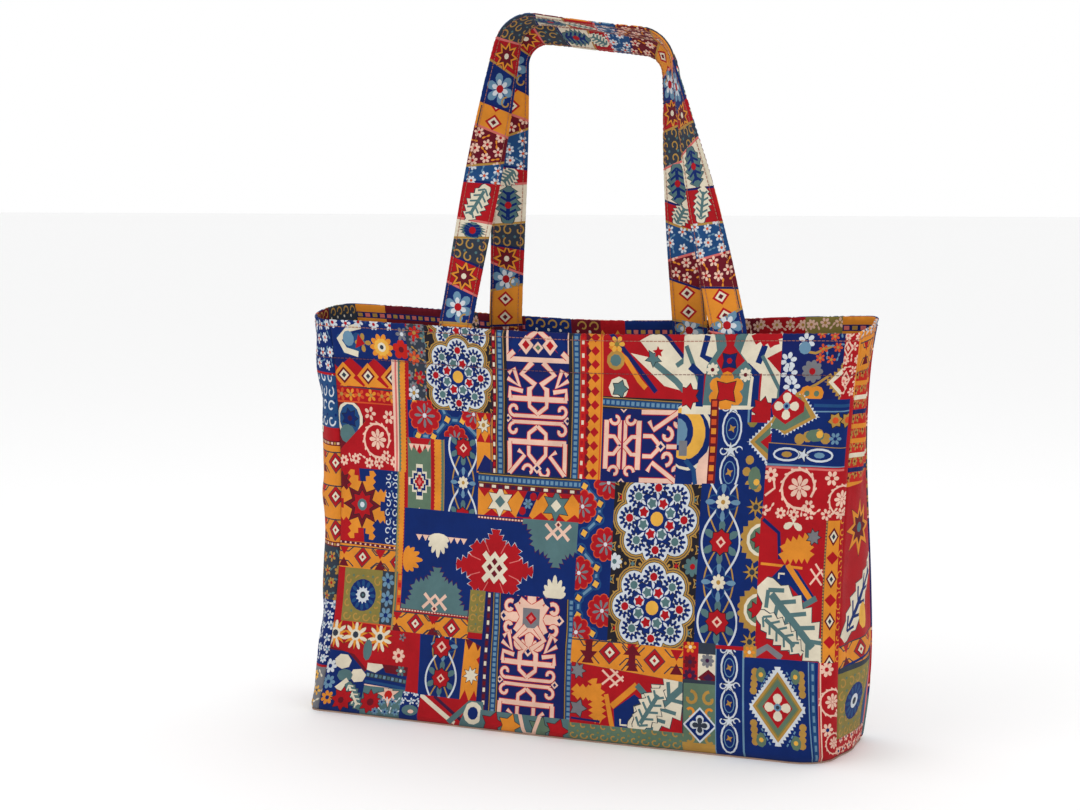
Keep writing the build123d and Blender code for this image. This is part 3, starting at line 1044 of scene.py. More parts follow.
    for x, dye in ((170, "red"), (186, "orange"), (214, "sage"), (230, "red")):
        c.star(x, 6, 11, 6, 5, dye, 1.3)
    c.line([(195, 18), (200, 0), (208, 0), (214, 18)], 3.4, "blush")
    c.block(240, 0, 345, 15, "sage")
    c.swirls(240, 0, 345, 16, 9, "gold", "olive")


def front_right(c):
    """Star lattice, rosettes, the abstract garden, scroll flowers, the large leaf and the step diamond."""
    c.block(240, 84, 278, 214, "navy")
    c.trellis(
        [
            (244, 158), (259, 144), (259, 131), (244, 119), (244, 105), (258, 91), (259, 195),
            (259, 183), (244, 208), (246, 171),
        ],
        [
            (244, 158, 259, 144), (259, 144, 259, 131), (259, 131, 244, 119), (244, 105, 258, 91),
            (244, 208, 259, 195), (259, 195, 259, 183), (259, 183, 246, 171), (244, 119, 244, 105),
        ],
    )
    for x, y in ((266, 163), (266, 110), (243, 139), (243, 192), (243, 91), (266, 212)):
        c.aster(x, y, 13.5, 0.2)
    c.block(272, 84, 349, 214, "night")
    c.lattice(272, 84, 349, 214, 13)
    for y in (185, 115):
        c.rosette(311, y, 36)
    c.daisy(345, 149, 8, "teal", "red", 8)
    c.daisy(275, 150, 7, "ice", "teal", 8)
    c.patch([(240, 66), (342, 57), (342, 84), (240, 87)], "orange")
    c.kilim(240, 66, 342, 86, [(275, 77), (315, 73)], 9)
    for x, y, side in ((256, 77, -1), (295, 76, 1)):
        c.shape(
            [
                (x - 3, y - side * 9), (x + 3, y - side * 9), (x + 3, y), (x + 8, y), (x, y + side * 9),
                (x - 8, y), (x - 3, y),
            ],
            "maroon",
        )
    c.patch([(241, 15), (345, 15), (345, 57), (241, 67)], "red")
    c.beads(241, 68, 345, 58, 2.4, 4, "slate", "cream")
    c.star(247, 60, 7, 4, 7, "grey")
    for a, b in (
        ((269, 62), (283, 50)), ((269, 50), (283, 62)), ((276, 64), (288, 54)), ((276, 48), (288, 58)),
    ):
        c.line([a, b], 1.8, "blush")
    c.shape(saw([(262, 20), (270, 20), (268, 46), (260, 54)], 5, 4), "orange")
    c.shape(saw([(245, 38), (260, 38), (260, 46), (244, 46)], 5, 3), "orange")
    c.star(248, 28, 8, 4.5, 5, "grey")
    c.line([(242, 19), (268, 18)], 2, "ink")
    c.line([(273, 42), (279, 14)], 4, "orange")
    c.shape([(281, 15), (300, 15), (310, 36), (298, 44), (280, 30)], "navy")
    c.line([(278, 32), (300, 52)], 5, "orange")
    c.line([(300, 52), (314, 38)], 5, "teal")
    c.line([(286, 22), (286, 17), (294, 17)], 1.6, "cream")
    c.leafy(296, 12, 350, 62, 19)
    c.leafy(300, 14, 322, 50, 12)
    c.block(258, 277, 345, 370, "red")
    c.line([(262, 335), (305, 285)], 4, "ink")
    c.shape([(290, 326), (302, 312), (282, 316), (312, 290), (345, 282), (345, 334), (316, 340)], "cream")
    c.line([(303, 308), (322, 294), (332, 284)], 5, "teal")
    c.star(302, 312, 7, 3.4, 5, "teal", 0.9)
    c.star(306, 317, 5, 2.4, 5, "red", 0.4)
    c.shape([(322, 345), (340, 318), (330, 310), (308, 336)], "red")
    c.line([(300, 345), (332, 308)], 3.2, "ink")
    c.line([(336, 316), (322, 306)], 4, "teal")
    c.shape(ring(272, 288, 9, 8), "cream")
    c.star(273, 287, 7, 4.5, 5, "teal")
    c.line([(264, 322), (278, 311), (290, 294), (296, 288)], 4.2, "orange")
    c.disc(269, 310, 8, "gold", 10)
    c.disc(269, 310, 5, "teal", 8)
    c.daisy(270, 323, 7, "yellow", "olive", 6)
    c.patch([(258, 271), (345, 268), (345, 279), (258, 281)], "night")
    c.chain(256, 276.5, 345, 273, 5)
    c.block(258, 213, 330, 271, "ink")
    for y in (262, 223):
        c.bar([(262, 242), (262, y)], 4)
        c.bar([(274, 242), (274, y)], 3)
        c.bar([(279, 242), (279, y)], 3)
        c.bar([(291, 242), (291, y)], 4.4)
    for s in (-1, 1):
        for x, side in ((270, -1), (283, 1)):
            c.curl(x, 242 + s * 21, 5, 0 if side > 0 else pi, -s * side * 4.8, 2.4, "blush", "scarlet")
        c.bar([(264, 242 + s * 7), (269, 242 + s * 7), (274, 242 + s)], 3)
        c.bar([(289, 242 + s * 7), (285, 242 + s * 7), (279, 242 + s)], 3)
        c.bar([(293, 242 + s * 27), (325, 242 + s * 27)], 3.6)
        c.bar([(325, 242 + s * 27), (304, 242 + s * 13), (300, 242 + s * 20)], 3.4)
        c.bar([(295, 242 + s * 8), (303, 242 + s * 8), (309, 242 + s * 2)], 3.2)
        c.curl(316, 242 + s * 9, 6, pi / 2 * s, -s * 5, 2.8, "blush", "scarlet")
        c.curl(325, 242 + s * 19, 5, pi / 2 * s, -s * 5, 2.8, "blush", "scarlet")
        c.diamond(277, 242 + s * 29, 3, 3, "blush", "ink")
    c.diamond(311, 242, 4.4, 4.4, "blush", "ink")
    c.bar([(316, 242), (336, 242)], 3.4)
    c.block(325, 213, 353, 275, "navy")
    c.disc(335, 250, 22, "cream", 18, 1.2)
    c.disc(334, 250, 20, "navy", 18, 1.2)
    c.disc(332, 253, 17.5, "yellow", 18, 1.2)
    c.disc(327, 254, 12, "navy", 16, 1.25)
    c.disc(325, 254, 9, "sky", 12, 1.2)
    c.box(327, 235, 334, 247, "grey")
    c.shape([(340, 213), (353, 213), (353, 240), (345, 232)], "blush")
    c.line([(333, 232), (341, 224), (343, 213)], 4, "blue")
    c.block(328, 268, 414, 370, "cream")
    c.line([(330, 322), (346, 284)], 3.6, "teal")
    for x in (343, 390):
        c.line([(x, 274), (x + 1, 298), (x - 9, 306)], 6.4, "navy")
        c.line([(x + 3.6, 276), (x + 4, 300)], 1.6, "red")
    c.line([(348, 330), (344, 314), (352, 310)], 5, "navy")
    c.line([(396, 322), (391, 308)], 5, "navy")
    c.shape(
        [(346, 275), (384, 275), (386, 304), (376, 316), (384, 340), (352, 340), (356, 318), (348, 306)],
        "teal",
    )
    c.shape(
        [
            (360, 340), (374, 340), (370, 322), (380, 310), (369, 300), (368, 296), (362, 300),
            (356, 310), (364, 322),
        ],
        "red",
    )
    c.star(367, 310, 8, 4.5, 4, "ink", pi / 4)
    c.disc(367, 310, 2.4, "red", 6)
    for x, y in ((353, 303), (381, 299)):
        c.daisy(x, y, 5.6, "cream", "maroon", 8)
    for px, py in ring(365.5, 286, 10, 6, 0.5):
        c.disc(px, py, 5.8, "orange", 9)
    c.star(365.5, 286, 11, 6, 4, "red", pi / 4)
    for x, y in ((333, 282), (397, 272)):
        c.star(x, y, 10, 6.5, 7, "red", 0.5)
    c.shape([(398, 312), (414, 320), (414, 296)], "red")
    c.line([(394, 314), (410, 288), (409, 270)], 3, "teal")
    c.shape(saw([(386, 326), (404, 322), (412, 336), (392, 342)], 6, 3), "red")
    c.block(353, 208, 360, 280, "maroon")
    c.beads(356.3, 208, 356.3, 280, 6.6, 6.6, "maroon", "orange", "coral")
    c.block(360, 208, 388, 272, "navy")
    c.loops(372, 206, 274, 11)
    c.block(382, 205, 405, 262, "navy")
    for x, y in ((389, 233), (387, 224), (390, 214), (397, 212)):
        c.disc(x, y, 3.6, "gold", 9)
    c.disc(394, 219, 5.4, "sage", 10, 1.7)
    c.disc(396, 216, 2.6, "yellow", 8)
    c.disc(389, 264, 4.6, "olive", 9, 1.3)
    c.block(349, 84, 390, 214, "navy")
    c.arabesque(368.5, 76, 220, 18, 62)
    c.block(386, 84, 404, 206, "navy")
    for y in (172, 118):
        c.shape(saw(ring(404, y, 17, 9), 5, 3), "gold")
        c.disc(404, y, 13, "cream", 14)
        c.disc(404, y, 10.5, "sage", 12)
        c.star(402, y, 7, 4, 6, "red")
    for y in (197, 147, 93):
        c.star(397, y, 8, 3, 8, "gold")
        c.disc(397, y, 2.4, "slate", 7)
    c.block(410, 278, 462, 370, "ink")
    for x, y in ((416, 310), (417, 300), (430, 325), (420, 290)):
        c.daisy(x, y, 7, "ice", "navy", 6, x)
    c.daisy(436, 302, 9, "grey", "red", 9)
    c.line([(426, 318), (438, 316), (452, 322)], 2, "gold")
    c.line([(424, 284), (440, 292), (452, 300)], 2, "gold")
    c.sprays(440, 306, 462, 345, 11, "coral", "gold", 5, "sky")
    c.disc(429, 320, 5, "sky", 10)
    for x in (433, 441):
        c.disc(x, 285, 6, "orange", 9)
        c.disc(x, 285, 2.4, "sage", 7)
    c.shape(saw([(446, 294), (462, 310), (462, 278)], 4, 2.4), "gold")
    c.shape([(450, 294), (462, 306), (462, 283)], "cream")
    c.shape([(454, 294), (462, 301), (462, 287)], "red")
    c.block(404, 240, 470, 281, "navy")
    c.line([(440, 276), (470, 276)], 2.4, "blue")
    c.line([(430, 271), (470, 272)], 1.0, "sky")
    for x, y in ((430, 250), (437, 252), (446, 254), (452, 251)):
        c.disc(x, y, 4.4, "gold", 9)
    c.disc(443, 253, 8, "sage", 10, 0.6)
    c.disc(447, 254, 3, "yellow", 8)
    for x in (459, 469):
        c.star(x, 265, 6, 4, 6, "gold", 0.2)
        c.disc(x, 265, 2.6, "coral", 7)
    c.daisy(460, 251, 5, "sky", "navy", 6)
    c.patch_fence = [(386, 232), (412, 222), (462, 268), (448, 296), (380, 262)]
    c.shape(
        saw(
            [
                (385, 247), (404, 266), (414, 280), (430, 286), (446, 267), (417, 251), (407, 258),
                (404, 228),
            ],
            3.2, 2.0,
        ),
        "ice",
    )
    c.shape(
        [(388, 247), (405, 264), (415, 284), (430, 284), (443, 267), (417, 253), (405, 262), (405, 232)],
        "gold",
    )
    c.shape(
        [(392, 247), (405, 259), (417, 282), (428, 282), (438, 267), (417, 256), (405, 258), (405, 237)],
        "sage",
    )
    c.shape([(397, 247), (406, 254), (406, 240)], "red")
    c.patch_fence = [(396, 250), (440, 250), (440, 296), (396, 296)]
    c.shape([(404, 275), (416, 288), (432, 278), (432, 271), (417, 261), (406, 268)], "red")
    c.petals(417, 275, 2, 10.5, 4, 3.6, "cream", 0.0)
    c.disc(417, 275, 3, "sky", 9)
    c.disc(417, 275, 1.6, "navy", 7)
    c.patch([(404, 228), (470, 226), (470, 244), (404, 247)], "navy")
    c.line([(404, 230), (470, 229)], 1.6, "sky")
    c.line([(404, 247), (470, 244)], 1.2, "gold")
    for x, dye in ((420, "gold"), (448, "sky")):
        path = ring(x, 238, 11, 14, 0.0, 0.42)
        c.line(path + path[:1], 1.6, "ice")
        c.disc(x, 238, 4.6, dye, 8, 0.5)
    c.star(434, 238, 5.5, 2, 5, "ice")
    c.block(403, 188, 477, 229, "red")
    c.line([(403, 228), (470, 227)], 1.6, "pink")
    c.scrollwork(433, 213, 15)
    c.sprays(403, 187, 477, 199, 13, "blush", "red", 8)
    c.daisy(408, 222, 6, "blush", "red", 7)
    c.daisy(460, 221, 6, "blush", "red", 6)
    c.line([(404, 206), (412, 212), (410, 221)], 1.8, "blush")
    c.scrollwork(470, 205, 11)
    c.block(402, 80, 460, 189, "red")
    c.line([(404, 188), (418, 178), (420, 158)], 3, "ink")
    c.petals(430, 186, 0, 9, 3, 2.6, "cream", 3.6)
    c.shape(saw([(422, 158), (446, 160), (444, 176), (424, 170)], 5, 4), "orange")
    c.line([(404, 154), (440, 152)], 2, "orange")
    c.shape([(408, 138), (424, 154), (436, 150), (452, 130), (446, 124), (430, 138)], "navy")
    c.line([(427, 154), (450, 126)], 4.4, "orange")
    c.line([(441, 123), (453, 130)], 4.4, "teal")
    c.line([(420, 143), (420, 147), (425, 147)], 1.5, "cream")
    for a, b in (((447, 152), (457, 140)), ((447, 140), (457, 152)), ((451, 156), (459, 146))):
        c.line([a, b], 1.6, "blush")
    c.leafy(406, 140, 458, 84, 20)
    c.leafy(404, 116, 440, 88, 11)
    c.star(448, 176, 6, 3.6, 7, "grey")
    c.line([(402, 84), (412, 90), (424, 82)], 5, "grey")
    c.block(458, 80, 470, 189, "orange")
    c.beads(458.6, 80, 458.6, 189, 1.6, 2.4, "slate", "gold")
    for y in (177, 145, 113, 81):
        c.diamond(465, y, 4.6, 7, "maroon", "cream", "slate")
        c.diamond(465, y - 16, 5, 5, "red")
    c.block(470, 80, 477, 189, "red")
    c.swirls(469, 80, 477, 189, 8, "orange", "blush")
    c.block(340, 15, 368, 90, "slate")
    c.block(340, 60, 353, 90, "red")
    c.daisy(346, 86, 5, "orange", "cream", 6)
    c.daisy(346, 74, 6, "maroon", "plum", 8)
    c.daisy(346, 63, 6, "plum", "red", 8)
    c.block(353, 60, 370, 81, "cream")
    c.daisy(361, 76, 6, "grey", "plum", 8)
    c.diamond(362, 62, 9, 7, "maroon", "plum")
    c.block(341, 8, 370, 57, "sage")
    for side in (-1, 1):
        c.curl(355 + side * 8, 45, 6, pi / 2, side * 5, 2.6, "gold")
        c.curl(355 + side * 9, 34, 5, -pi / 2, -side * 4, 2.2, "orange")
        c.curl(355 + side * 9, 11, 5, pi / 2, side * 4, 2.2, "gold")
    c.diamond(355, 23, 14.5, 15, "ice")
    c.diamond(355, 23, 12.5, 13, "navy")
    c.petals(355, 23, 0, 8.5, 4, 3.4, "ice", 0)
    c.petals(355, 23, 0, 6.5, 4, 2.3, "slate", 0)
    c.block(340, 0, 370, 8, "gold")
    c.block(368, 85, 393, 89, "red")
    c.block(368, 0, 393, 86, "navy")
    c.loops(380, 0, 86, 9.5)
    c.block(392, 80, 403, 90, "gold")
    c.daisy(397, 85, 5, "orange", "cream", 6)
    c.block(393, 0, 458, 81, "navy")
    c.shape(saw([(398, 42), (421, 12), (444, 43), (421, 75)], 3.4, 2.2), "ice")
    c.diamond(421, 43, 21, 28, "gold")
    c.diamond(421, 43, 18.4, 24.5, "olive")
    c.diamond(421, 43, 17, 22.5, "sage")
    c.diamond(421, 43, 12.6, 16.6, "red")
    c.petals(421, 43, 2, 11, 4, 3.8, "cream", 0)
    c.disc(421, 43, 3.2, "sky", 9)
    c.disc(421, 43, 1.7, "slate", 7)
    for x, y, side, up in ((403, 70, -1, -1), (440, 70, 1, -1), (403, 14, -1, 1), (440, 14, 1, 1)):
        for k in range(4):
            c.disc(x + side * (1 + 0.4 * k), y + up * 5 * k, 3.2, "gold", 8)
        c.disc(x - side * 4, y + up * 2, 4.4, "sage", 8, 1.4)
        c.disc(x - side * 4, y + up * 2, 2, "yellow", 7)
        c.beads(x - side * 12, y - up * 2, x - side * 4, y + up * 12, 2, 3.4, "navy", "sky")
    c.line([(447.5, 81), (448.5, 0)], 1.0, "sky")
    c.line([(451, 81), (452, 0)], 4, "blue")
    c.beads(451, 81, 452, 0, 3, 8, "blue", "sky")
    c.patch([(454, 0), (477, 0), (477, 81), (456, 81)], "red")
    c.line([(455.5, 81), (454.5, 0)], 1.6, "pink")
    c.line([(457.8, 81), (456.8, 0)], 1.2, "blush")
    c.daisy(463, 76, 6, "blush", "red", 7)
    c.scrollwork(468, 50, 11)
    c.daisy(463, 27, 6, "blush", "navy", 6)
    c.scrollwork(470, 15, 9)
    c.block(461, 281, 477, 370, "red")
    for y in (320, 296):
        c.diamond(464, y, 4, 7, "blush", "red", "blush")
    c.sprays(458, 281, 477, 370, 10, "blush", "pink", 6)
    c.block(473, 281, 477, 370, "orange")


def hem_print(cut, seed):
    """The turned hem shows the next rows of the patchwork."""
    rng = np.random.default_rng(seed)
    x, low, high = 0.0, LEVELS[3] + 3, cut.height
    grounds = ("maroon", "olive", "navy", "red", "slate", "maroon", "teal", "orange")
    while x < cut.width:
        x1 = min(x + rng.uniform(22, 70), cut.width)
        ground = grounds[int(rng.integers(len(grounds)))]
        cut.block(x, low, x1, high, ground)
        style = int(rng.integers(4))
        if style == 0:
            cut.sprays(x, low, x1, high, 12, "blush" if ground != "teal" else "red", "gold", seed + int(x))
        elif style == 1:
            cut.swirls(x, low, x1, high, 11, "gold", "cream")
        elif style == 2:
            for k in range(int((x1 - x) / 14) + 1):
                cut.diamond(x + 7 + 14 * k, (low + high) / 2, 6, 9, "orange", "maroon", "cream")
        else:
            cut.beads(x, low + 9, x1, low + 9, 5, 6, "ink", "pink", "gold")
            cut.beads(x, low + 23, x1, low + 23, 5, 6, "maroon", "cream", "teal")
        x = x1
    cut.patch_fence = cut.fence


def front_print(width, height):
    cut = Cut(width, height, "red")
    front_left(cut)
    front_stripes(cut)
    front_middle(cut)
    front_right(cut)
    hem_print(cut, 5)
    return cut


def left_print(width, height):
    """Left gusset: florals and swirls above, stripes and pale blossoms towards the front seam."""
    cut = quilted(width, height, 21, 2)
    x0 = width * 0.62
    cut.block(x0, 286, width, height, "navy")
    cut.sprays(x0, 286, width, height, 13, "ice", "coral", 3, "sky")
    cut.block(x0 - 10, 286, x0, height, "scarlet")
    cut.swirls(x0 - 10, 286, x0, height, 9, "orange", "red")
    cut.block(x0, 240, width, 284, "blue")
    cut.swirls(x0, 240, width, 284, 12, "ice", "navy")
    cut.block(x0, 40, width, 96, "navy")
    cut.sprays(x0, 40, width, 96, 11, "ice", "sky", 7)
    cut.block(x0 - 7, 40, x0, 96, "orange")
    cut.block(x0, 0, width, 38, "grey")
    cut.sprays(x0, 0, width, 38, 13, "yellow", "slate", 8, "cream")
    hem_print(cut, 6)
    return cut


def right_print(width, height):
    """Right gusset, narrow: bright bands above, an olive square with a blue rosette near the base."""
    cut = Cut(width, height, "red")
    cut.block(0, 300, width, 370, "orange")
    cut.kilim(0, 304, width, 322, [(width * 0.5, 313)], 8)
    cut.sprays(0, 324, width, 345, 12, "ice", "navy", 2, "blue")
    cut.block(0, 210, width, 300, "scarlet")
    for k in range(8):
        cut.line(
            [(0, 214 + 11 * k), (width, 208 + 11 * k)], 3.4,
            ("orange", "ink", "cream", "orange")[k % 4],
        )
        cut.sprays(0, 214 + 11 * k, width, 222 + 11 * k, 11, "gold", "maroon", k)
    cut.block(0, 150, width, 212, "red")
    cut.star(width * 0.4, 178, 22, 11, 8, "orange")
    cut.star(width * 0.4, 178, 12, 7, 8, "maroon")
    cut.disc(width * 0.4, 178, 4, "teal", 8)
    cut.block(0, 92, width, 152, "red")
    cut.leafy(4, 96, width - 6, 148, 14, "cream", "navy")
    cut.disc(width * 0.55, 108, 8, "yellow", 9, 1.3)
    cut.block(0, 74, width, 92, "orange")
    cut.kilim(0, 74, width, 92, [(width * 0.45, 83)], 8)
    cut.line([(0, 73), (width, 80)], 2, "navy")
    cut.block(0, 16, width, 74, "slate")
    cut.block(0, 16, width * 0.74, 70, "olive")
    cut.swirls(0, 16, width * 0.74, 70, 10, "gold", "sage")
    cut.disc(width * 0.36, 43, 15, "navy", 18)
    cut.petals(width * 0.36, 43, 6, 14, 12, 1.7, "blue")
    cut.disc(width * 0.36, 43, 6, "ice", 12)
    cut.disc(width * 0.36, 43, 3, "slate", 9)
    cut.block(width * 0.78, 0, width * 0.9, 74, "blue")
    cut.block(width * 0.9, 0, width, 80, "pink")
    cut.block(0, 0, width, 16, "red")
    cut.sprays(0, 0, width, 16, 11, "blush", "navy", 4)
    hem_print(cut, 7)
    return cut


def strap_print(length, around, seed):
    """Along a strap: short patches with florals, diamonds, stars and leaves, on both faces."""
    cut = Cut(length, around, "red")
    rng = np.random.default_rng(seed)
    x, turn = 0.0, 0
    half = around / 2
    while x < length:
        x1 = min(x + rng.uniform(14, 34), length)
        for y0, y1, shift in ((0, half * 0.5, 3), (half * 0.5, half * 1.5, 0), (half * 1.5, around, 3)):
            kind = (turn + shift) % 8
            grounds = ("maroon", "orange", "navy", "red", "slate", "cream", "red", "blue")
            skew = rng.uniform(-7, 7)
            cut.patch([(x - skew, y0), (x1 + 9, y0), (x1 + 9, y1), (x + skew, y1)], grounds[kind])
            cut.line([(x - skew + 1, y0), (x + skew + 1, y1)], 1.8, ("pink", "ink", "gold")[turn % 3])
            cx, cy = (x + x1) / 2, half if y0 > 0 and y1 < around else (y0 + y1) / 2
            if kind == 0:
                cut.sprays(x, y0, x1, y1, 12, "blush", "red", seed + turn, "orange")
            elif kind == 1:
                for k in range(int((x1 - x) / 15) + 1):
                    cut.diamond(x + 8 + 15 * k, cy, 6.5, 7.5, "red", "cream", "maroon")
                cut.line([(x, y1 - 2.5), (x1, y1 - 2.5)], 1, "slate")
            elif kind == 2:
                cut.petals(cx, cy, 2, 13, 6, 3.6, "sky", 0.3)
                cut.petals(cx, cy, 1, 8, 6, 2.0, "ice", 0.3)
                cut.disc(cx, cy, 3.4, "red", 9)
                cut.curl(x + 5, cy - 8, 5, 0, 5, 1.3, "gold")
            elif kind == 3:
                cut.star(cx, cy, 13, 7, 8, "orange")
                cut.star(cx, cy, 8, 4.5, 8, "maroon")
                cut.disc(cx, cy, 2.4, "cream", 8)
            elif kind == 4:
                cut.swirls(x, y0, x1, y1, 10, "gold", "teal")
            elif kind == 5:
                cut.leafy(x + 1, cy, x1 - 1, cy, 11, "teal", "navy")
                cut.disc(cx, cy, 3, "red", 8)
            elif kind == 6:
                cut.leafy(x1 - 1, cy - 5, x + 1, cy + 6, 9, "cream", "teal")
            else:
                cut.sprays(x, y0, x1, y1, 11, "ice", "coral", seed + turn, "sky")
        x = x1
        turn += 1
    cut.patch_fence = cut.fence
    return cut


# Meshes


def inside(points, x, y):
    """Which of the places lie inside a polygon."""
    ax, ay = np.array(points).T
    bx, by = np.roll(ax, -1), np.roll(ay, -1)
    spans = (ay[None] > y[:, None]) != (by[None] > y[:, None])
    rise = np.where(by == ay, 1, by - ay)
    crossing = ax + (y[:, None] - ay) * (bx - ax) / rise
    return (spans & (x[:, None] < crossing)).sum(axis=1) % 2 == 1


def painted(cut, flat, corners):
    """Dye of each triangle: that of the last shape drawn over its middle."""
    x, y = flat[corners].mean(axis=1).T
    order = np.argsort(x)
    x, y = x[order], y[order]
    dyes = np.zeros(len(x), int)
    for points, dye in cut.shapes:
        xs, ys = zip(*points)
        low, high = np.searchsorted(x, (min(xs), max(xs)))
        near = np.arange(low, high)
        near = near[(y[low:high] > min(ys)) & (y[low:high] < max(ys))]
        dyes[near[inside(points, x[near], y[near])]] = dye
    back = np.empty_like(dyes)
    back[order] = dyes
    return back


def meshed(points, edges):
    """Triangles over the places that keep to the edges."""
    found = delaunay_2d_cdt([Vector(p) for p in points], edges, [], 0, 1e-4, False)
    return np.array([(p.x, p.y) for p in found[0]], dtype=float), np.array(found[2])


def triangulated(cut, columns, rows, outline=()):
    """Triangles of a cut piece that follow the edges of its print: places, triangles, dyes."""
    places = {}

    def index(x, y):
        return places.setdefault((round(x, 3), round(y, 3)), len(places))

    edges = []
    for shape in [points for points, _ in cut.shapes] + [outline]:
        ids = [index(x, y) for x, y in shape]
        edges += [(ids[i - 1], ids[i]) for i in range(len(ids)) if ids[i - 1] != ids[i]]
    flat, corners = meshed(places, edges)
    dyes = painted(cut, flat, corners)
    sides = np.sort(np.concatenate([corners[:, [0, 1]], corners[:, [1, 2]], corners[:, [2, 0]]]), axis=1)
    code = sides[:, 0] * len(flat) + sides[:, 1]
    order = np.argsort(code, kind="stable")
    owner = np.tile(dyes, 3)[order]
    code = code[order]
    twin = code[1:] == code[:-1]
    seen = code[:-1][twin & (owner[1:] != owner[:-1])]
    places = {}
    edges = []
    for c in seen:
        (ax, ay), (bx, by) = (flat[i] for i in divmod(int(c), len(flat)))
        steps = int(hypot(bx - ax, by - ay) / 5) + 1
        run = [index(ax + (bx - ax) * k / steps, ay + (by - ay) * k / steps) for k in range(steps + 1)]
        edges += zip(run, run[1:])
    ids = [index(x, y) for x, y in outline]
    edges += [(ids[i - 1], ids[i]) for i in range(len(ids))]
    for x in columns:
        for y in rows:
            index(x, y)
    flat, corners = meshed(places, [e for e in edges if e[0] != e[1]])
    return flat, corners, painted(cut, flat, corners)


def zipper(first, second, keys):
    """Triangles between two rows of vertices that run side by side."""
    made = []
    i = j = 0
    while i < len(first) - 1 or j < len(second) - 1:
        step_first = j == len(second) - 1
        if i < len(first) - 1 and not step_first:
            step_first = keys[first[i + 1]] <= keys[second[j + 1]]
        if step_first:
            made.append((first[i], first[i + 1], second[j]))
            i += 1
        else:
            made.append((first[i], second[j + 1], second[j]))
            j += 1
    return made


def cloth_material(name):
    """Printed woven cotton: dye from the print, fine threads, a little wear and sheen."""
    material = bpy.data.materials.new(name)
    material.use_nodes = True
    nodes, links = material.node_tree.nodes, material.node_tree.links
    shader = nodes["Principled BSDF"]
    shader.inputs["Roughness"].default_value = 0.82
    shader.inputs["Specular IOR Level"].default_value = 0.1
    shader.inputs["Sheen Weight"].default_value = 0.04
    shader.inputs["Sheen Roughness"].default_value = 0.5
    dye = nodes.new("ShaderNodeAttribute")
    dye.attribute_name = "dye"
    flat = nodes.new("ShaderNodeUVMap")
    flat.uv_map = "Flat"
    threads = []
    for axis in (0, 1):
        wave = nodes.new("ShaderNodeTexWave")
        wave.bands_direction = "X" if axis == 0 else "Y"
        wave.inputs["Scale"].default_value = THREAD_SCALE
        wave.inputs["Distortion"].default_value = 0.6
        wave.inputs["Detail"].default_value = 1.0
        links.new(flat.outputs["UV"], wave.inputs["Vector"])
        threads.append(wave)
    weave = nodes.new("ShaderNodeMix")
    weave.data_type = "RGBA"
    weave.blend_type = "MULTIPLY"
    weave.inputs["Factor"].default_value = 1.0
    links.new(threads[0].outputs["Color"], weave.inputs["A"])
    links.new(threads[1].outputs["Color"], weave.inputs["B"])
    place = nodes.new("ShaderNodeTexCoord")
    slubs = nodes.new("ShaderNodeTexNoise")
    slubs.inputs["Scale"].default_value = 55.0
    slubs.inputs["Detail"].default_value = 6.0
    slubs.inputs["Roughness"].default_value = 0.65
    links.new(place.outputs["Object"], slubs.inputs["Vector"])
    tone = nodes.new("ShaderNodeMapRange")
    tone.inputs["From Min"].default_value = 0.3
    tone.inputs["From Max"].default_value = 0.7
    tone.inputs["To Min"].default_value = 0.8
    tone.inputs["To Max"].default_value = 1.04
    links.new(slubs.outputs["Fac"], tone.inputs["Value"])
    grain = nodes.new("ShaderNodeMapRange")
    grain.inputs["To Min"].default_value = 0.9
    grain.inputs["To Max"].default_value = 1.06
    links.new(weave.outputs["Result"], grain.inputs["Value"])
    both = nodes.new("ShaderNodeMath")
    both.operation = "MULTIPLY"
    links.new(tone.outputs["Result"], both.inputs[0])
    links.new(grain.outputs["Result"], both.inputs[1])
    dyed = nodes.new("ShaderNodeVectorMath")
    dyed.operation = "SCALE"
    links.new(dye.outputs["Color"], dyed.inputs[0])
    links.new(both.outputs["Value"], dyed.inputs["Scale"])
    links.new(dyed.outputs["Vector"], shader.inputs["Base Color"])
    bump = nodes.new("ShaderNodeBump")
    bump.inputs["Strength"].default_value = 0.25
    bump.inputs["Distance"].default_value = 0.0002
    links.new(weave.outputs["Result"], bump.inputs["Height"])
    links.new(bump.outputs["Normal"], shader.inputs["Normal"])
    return material


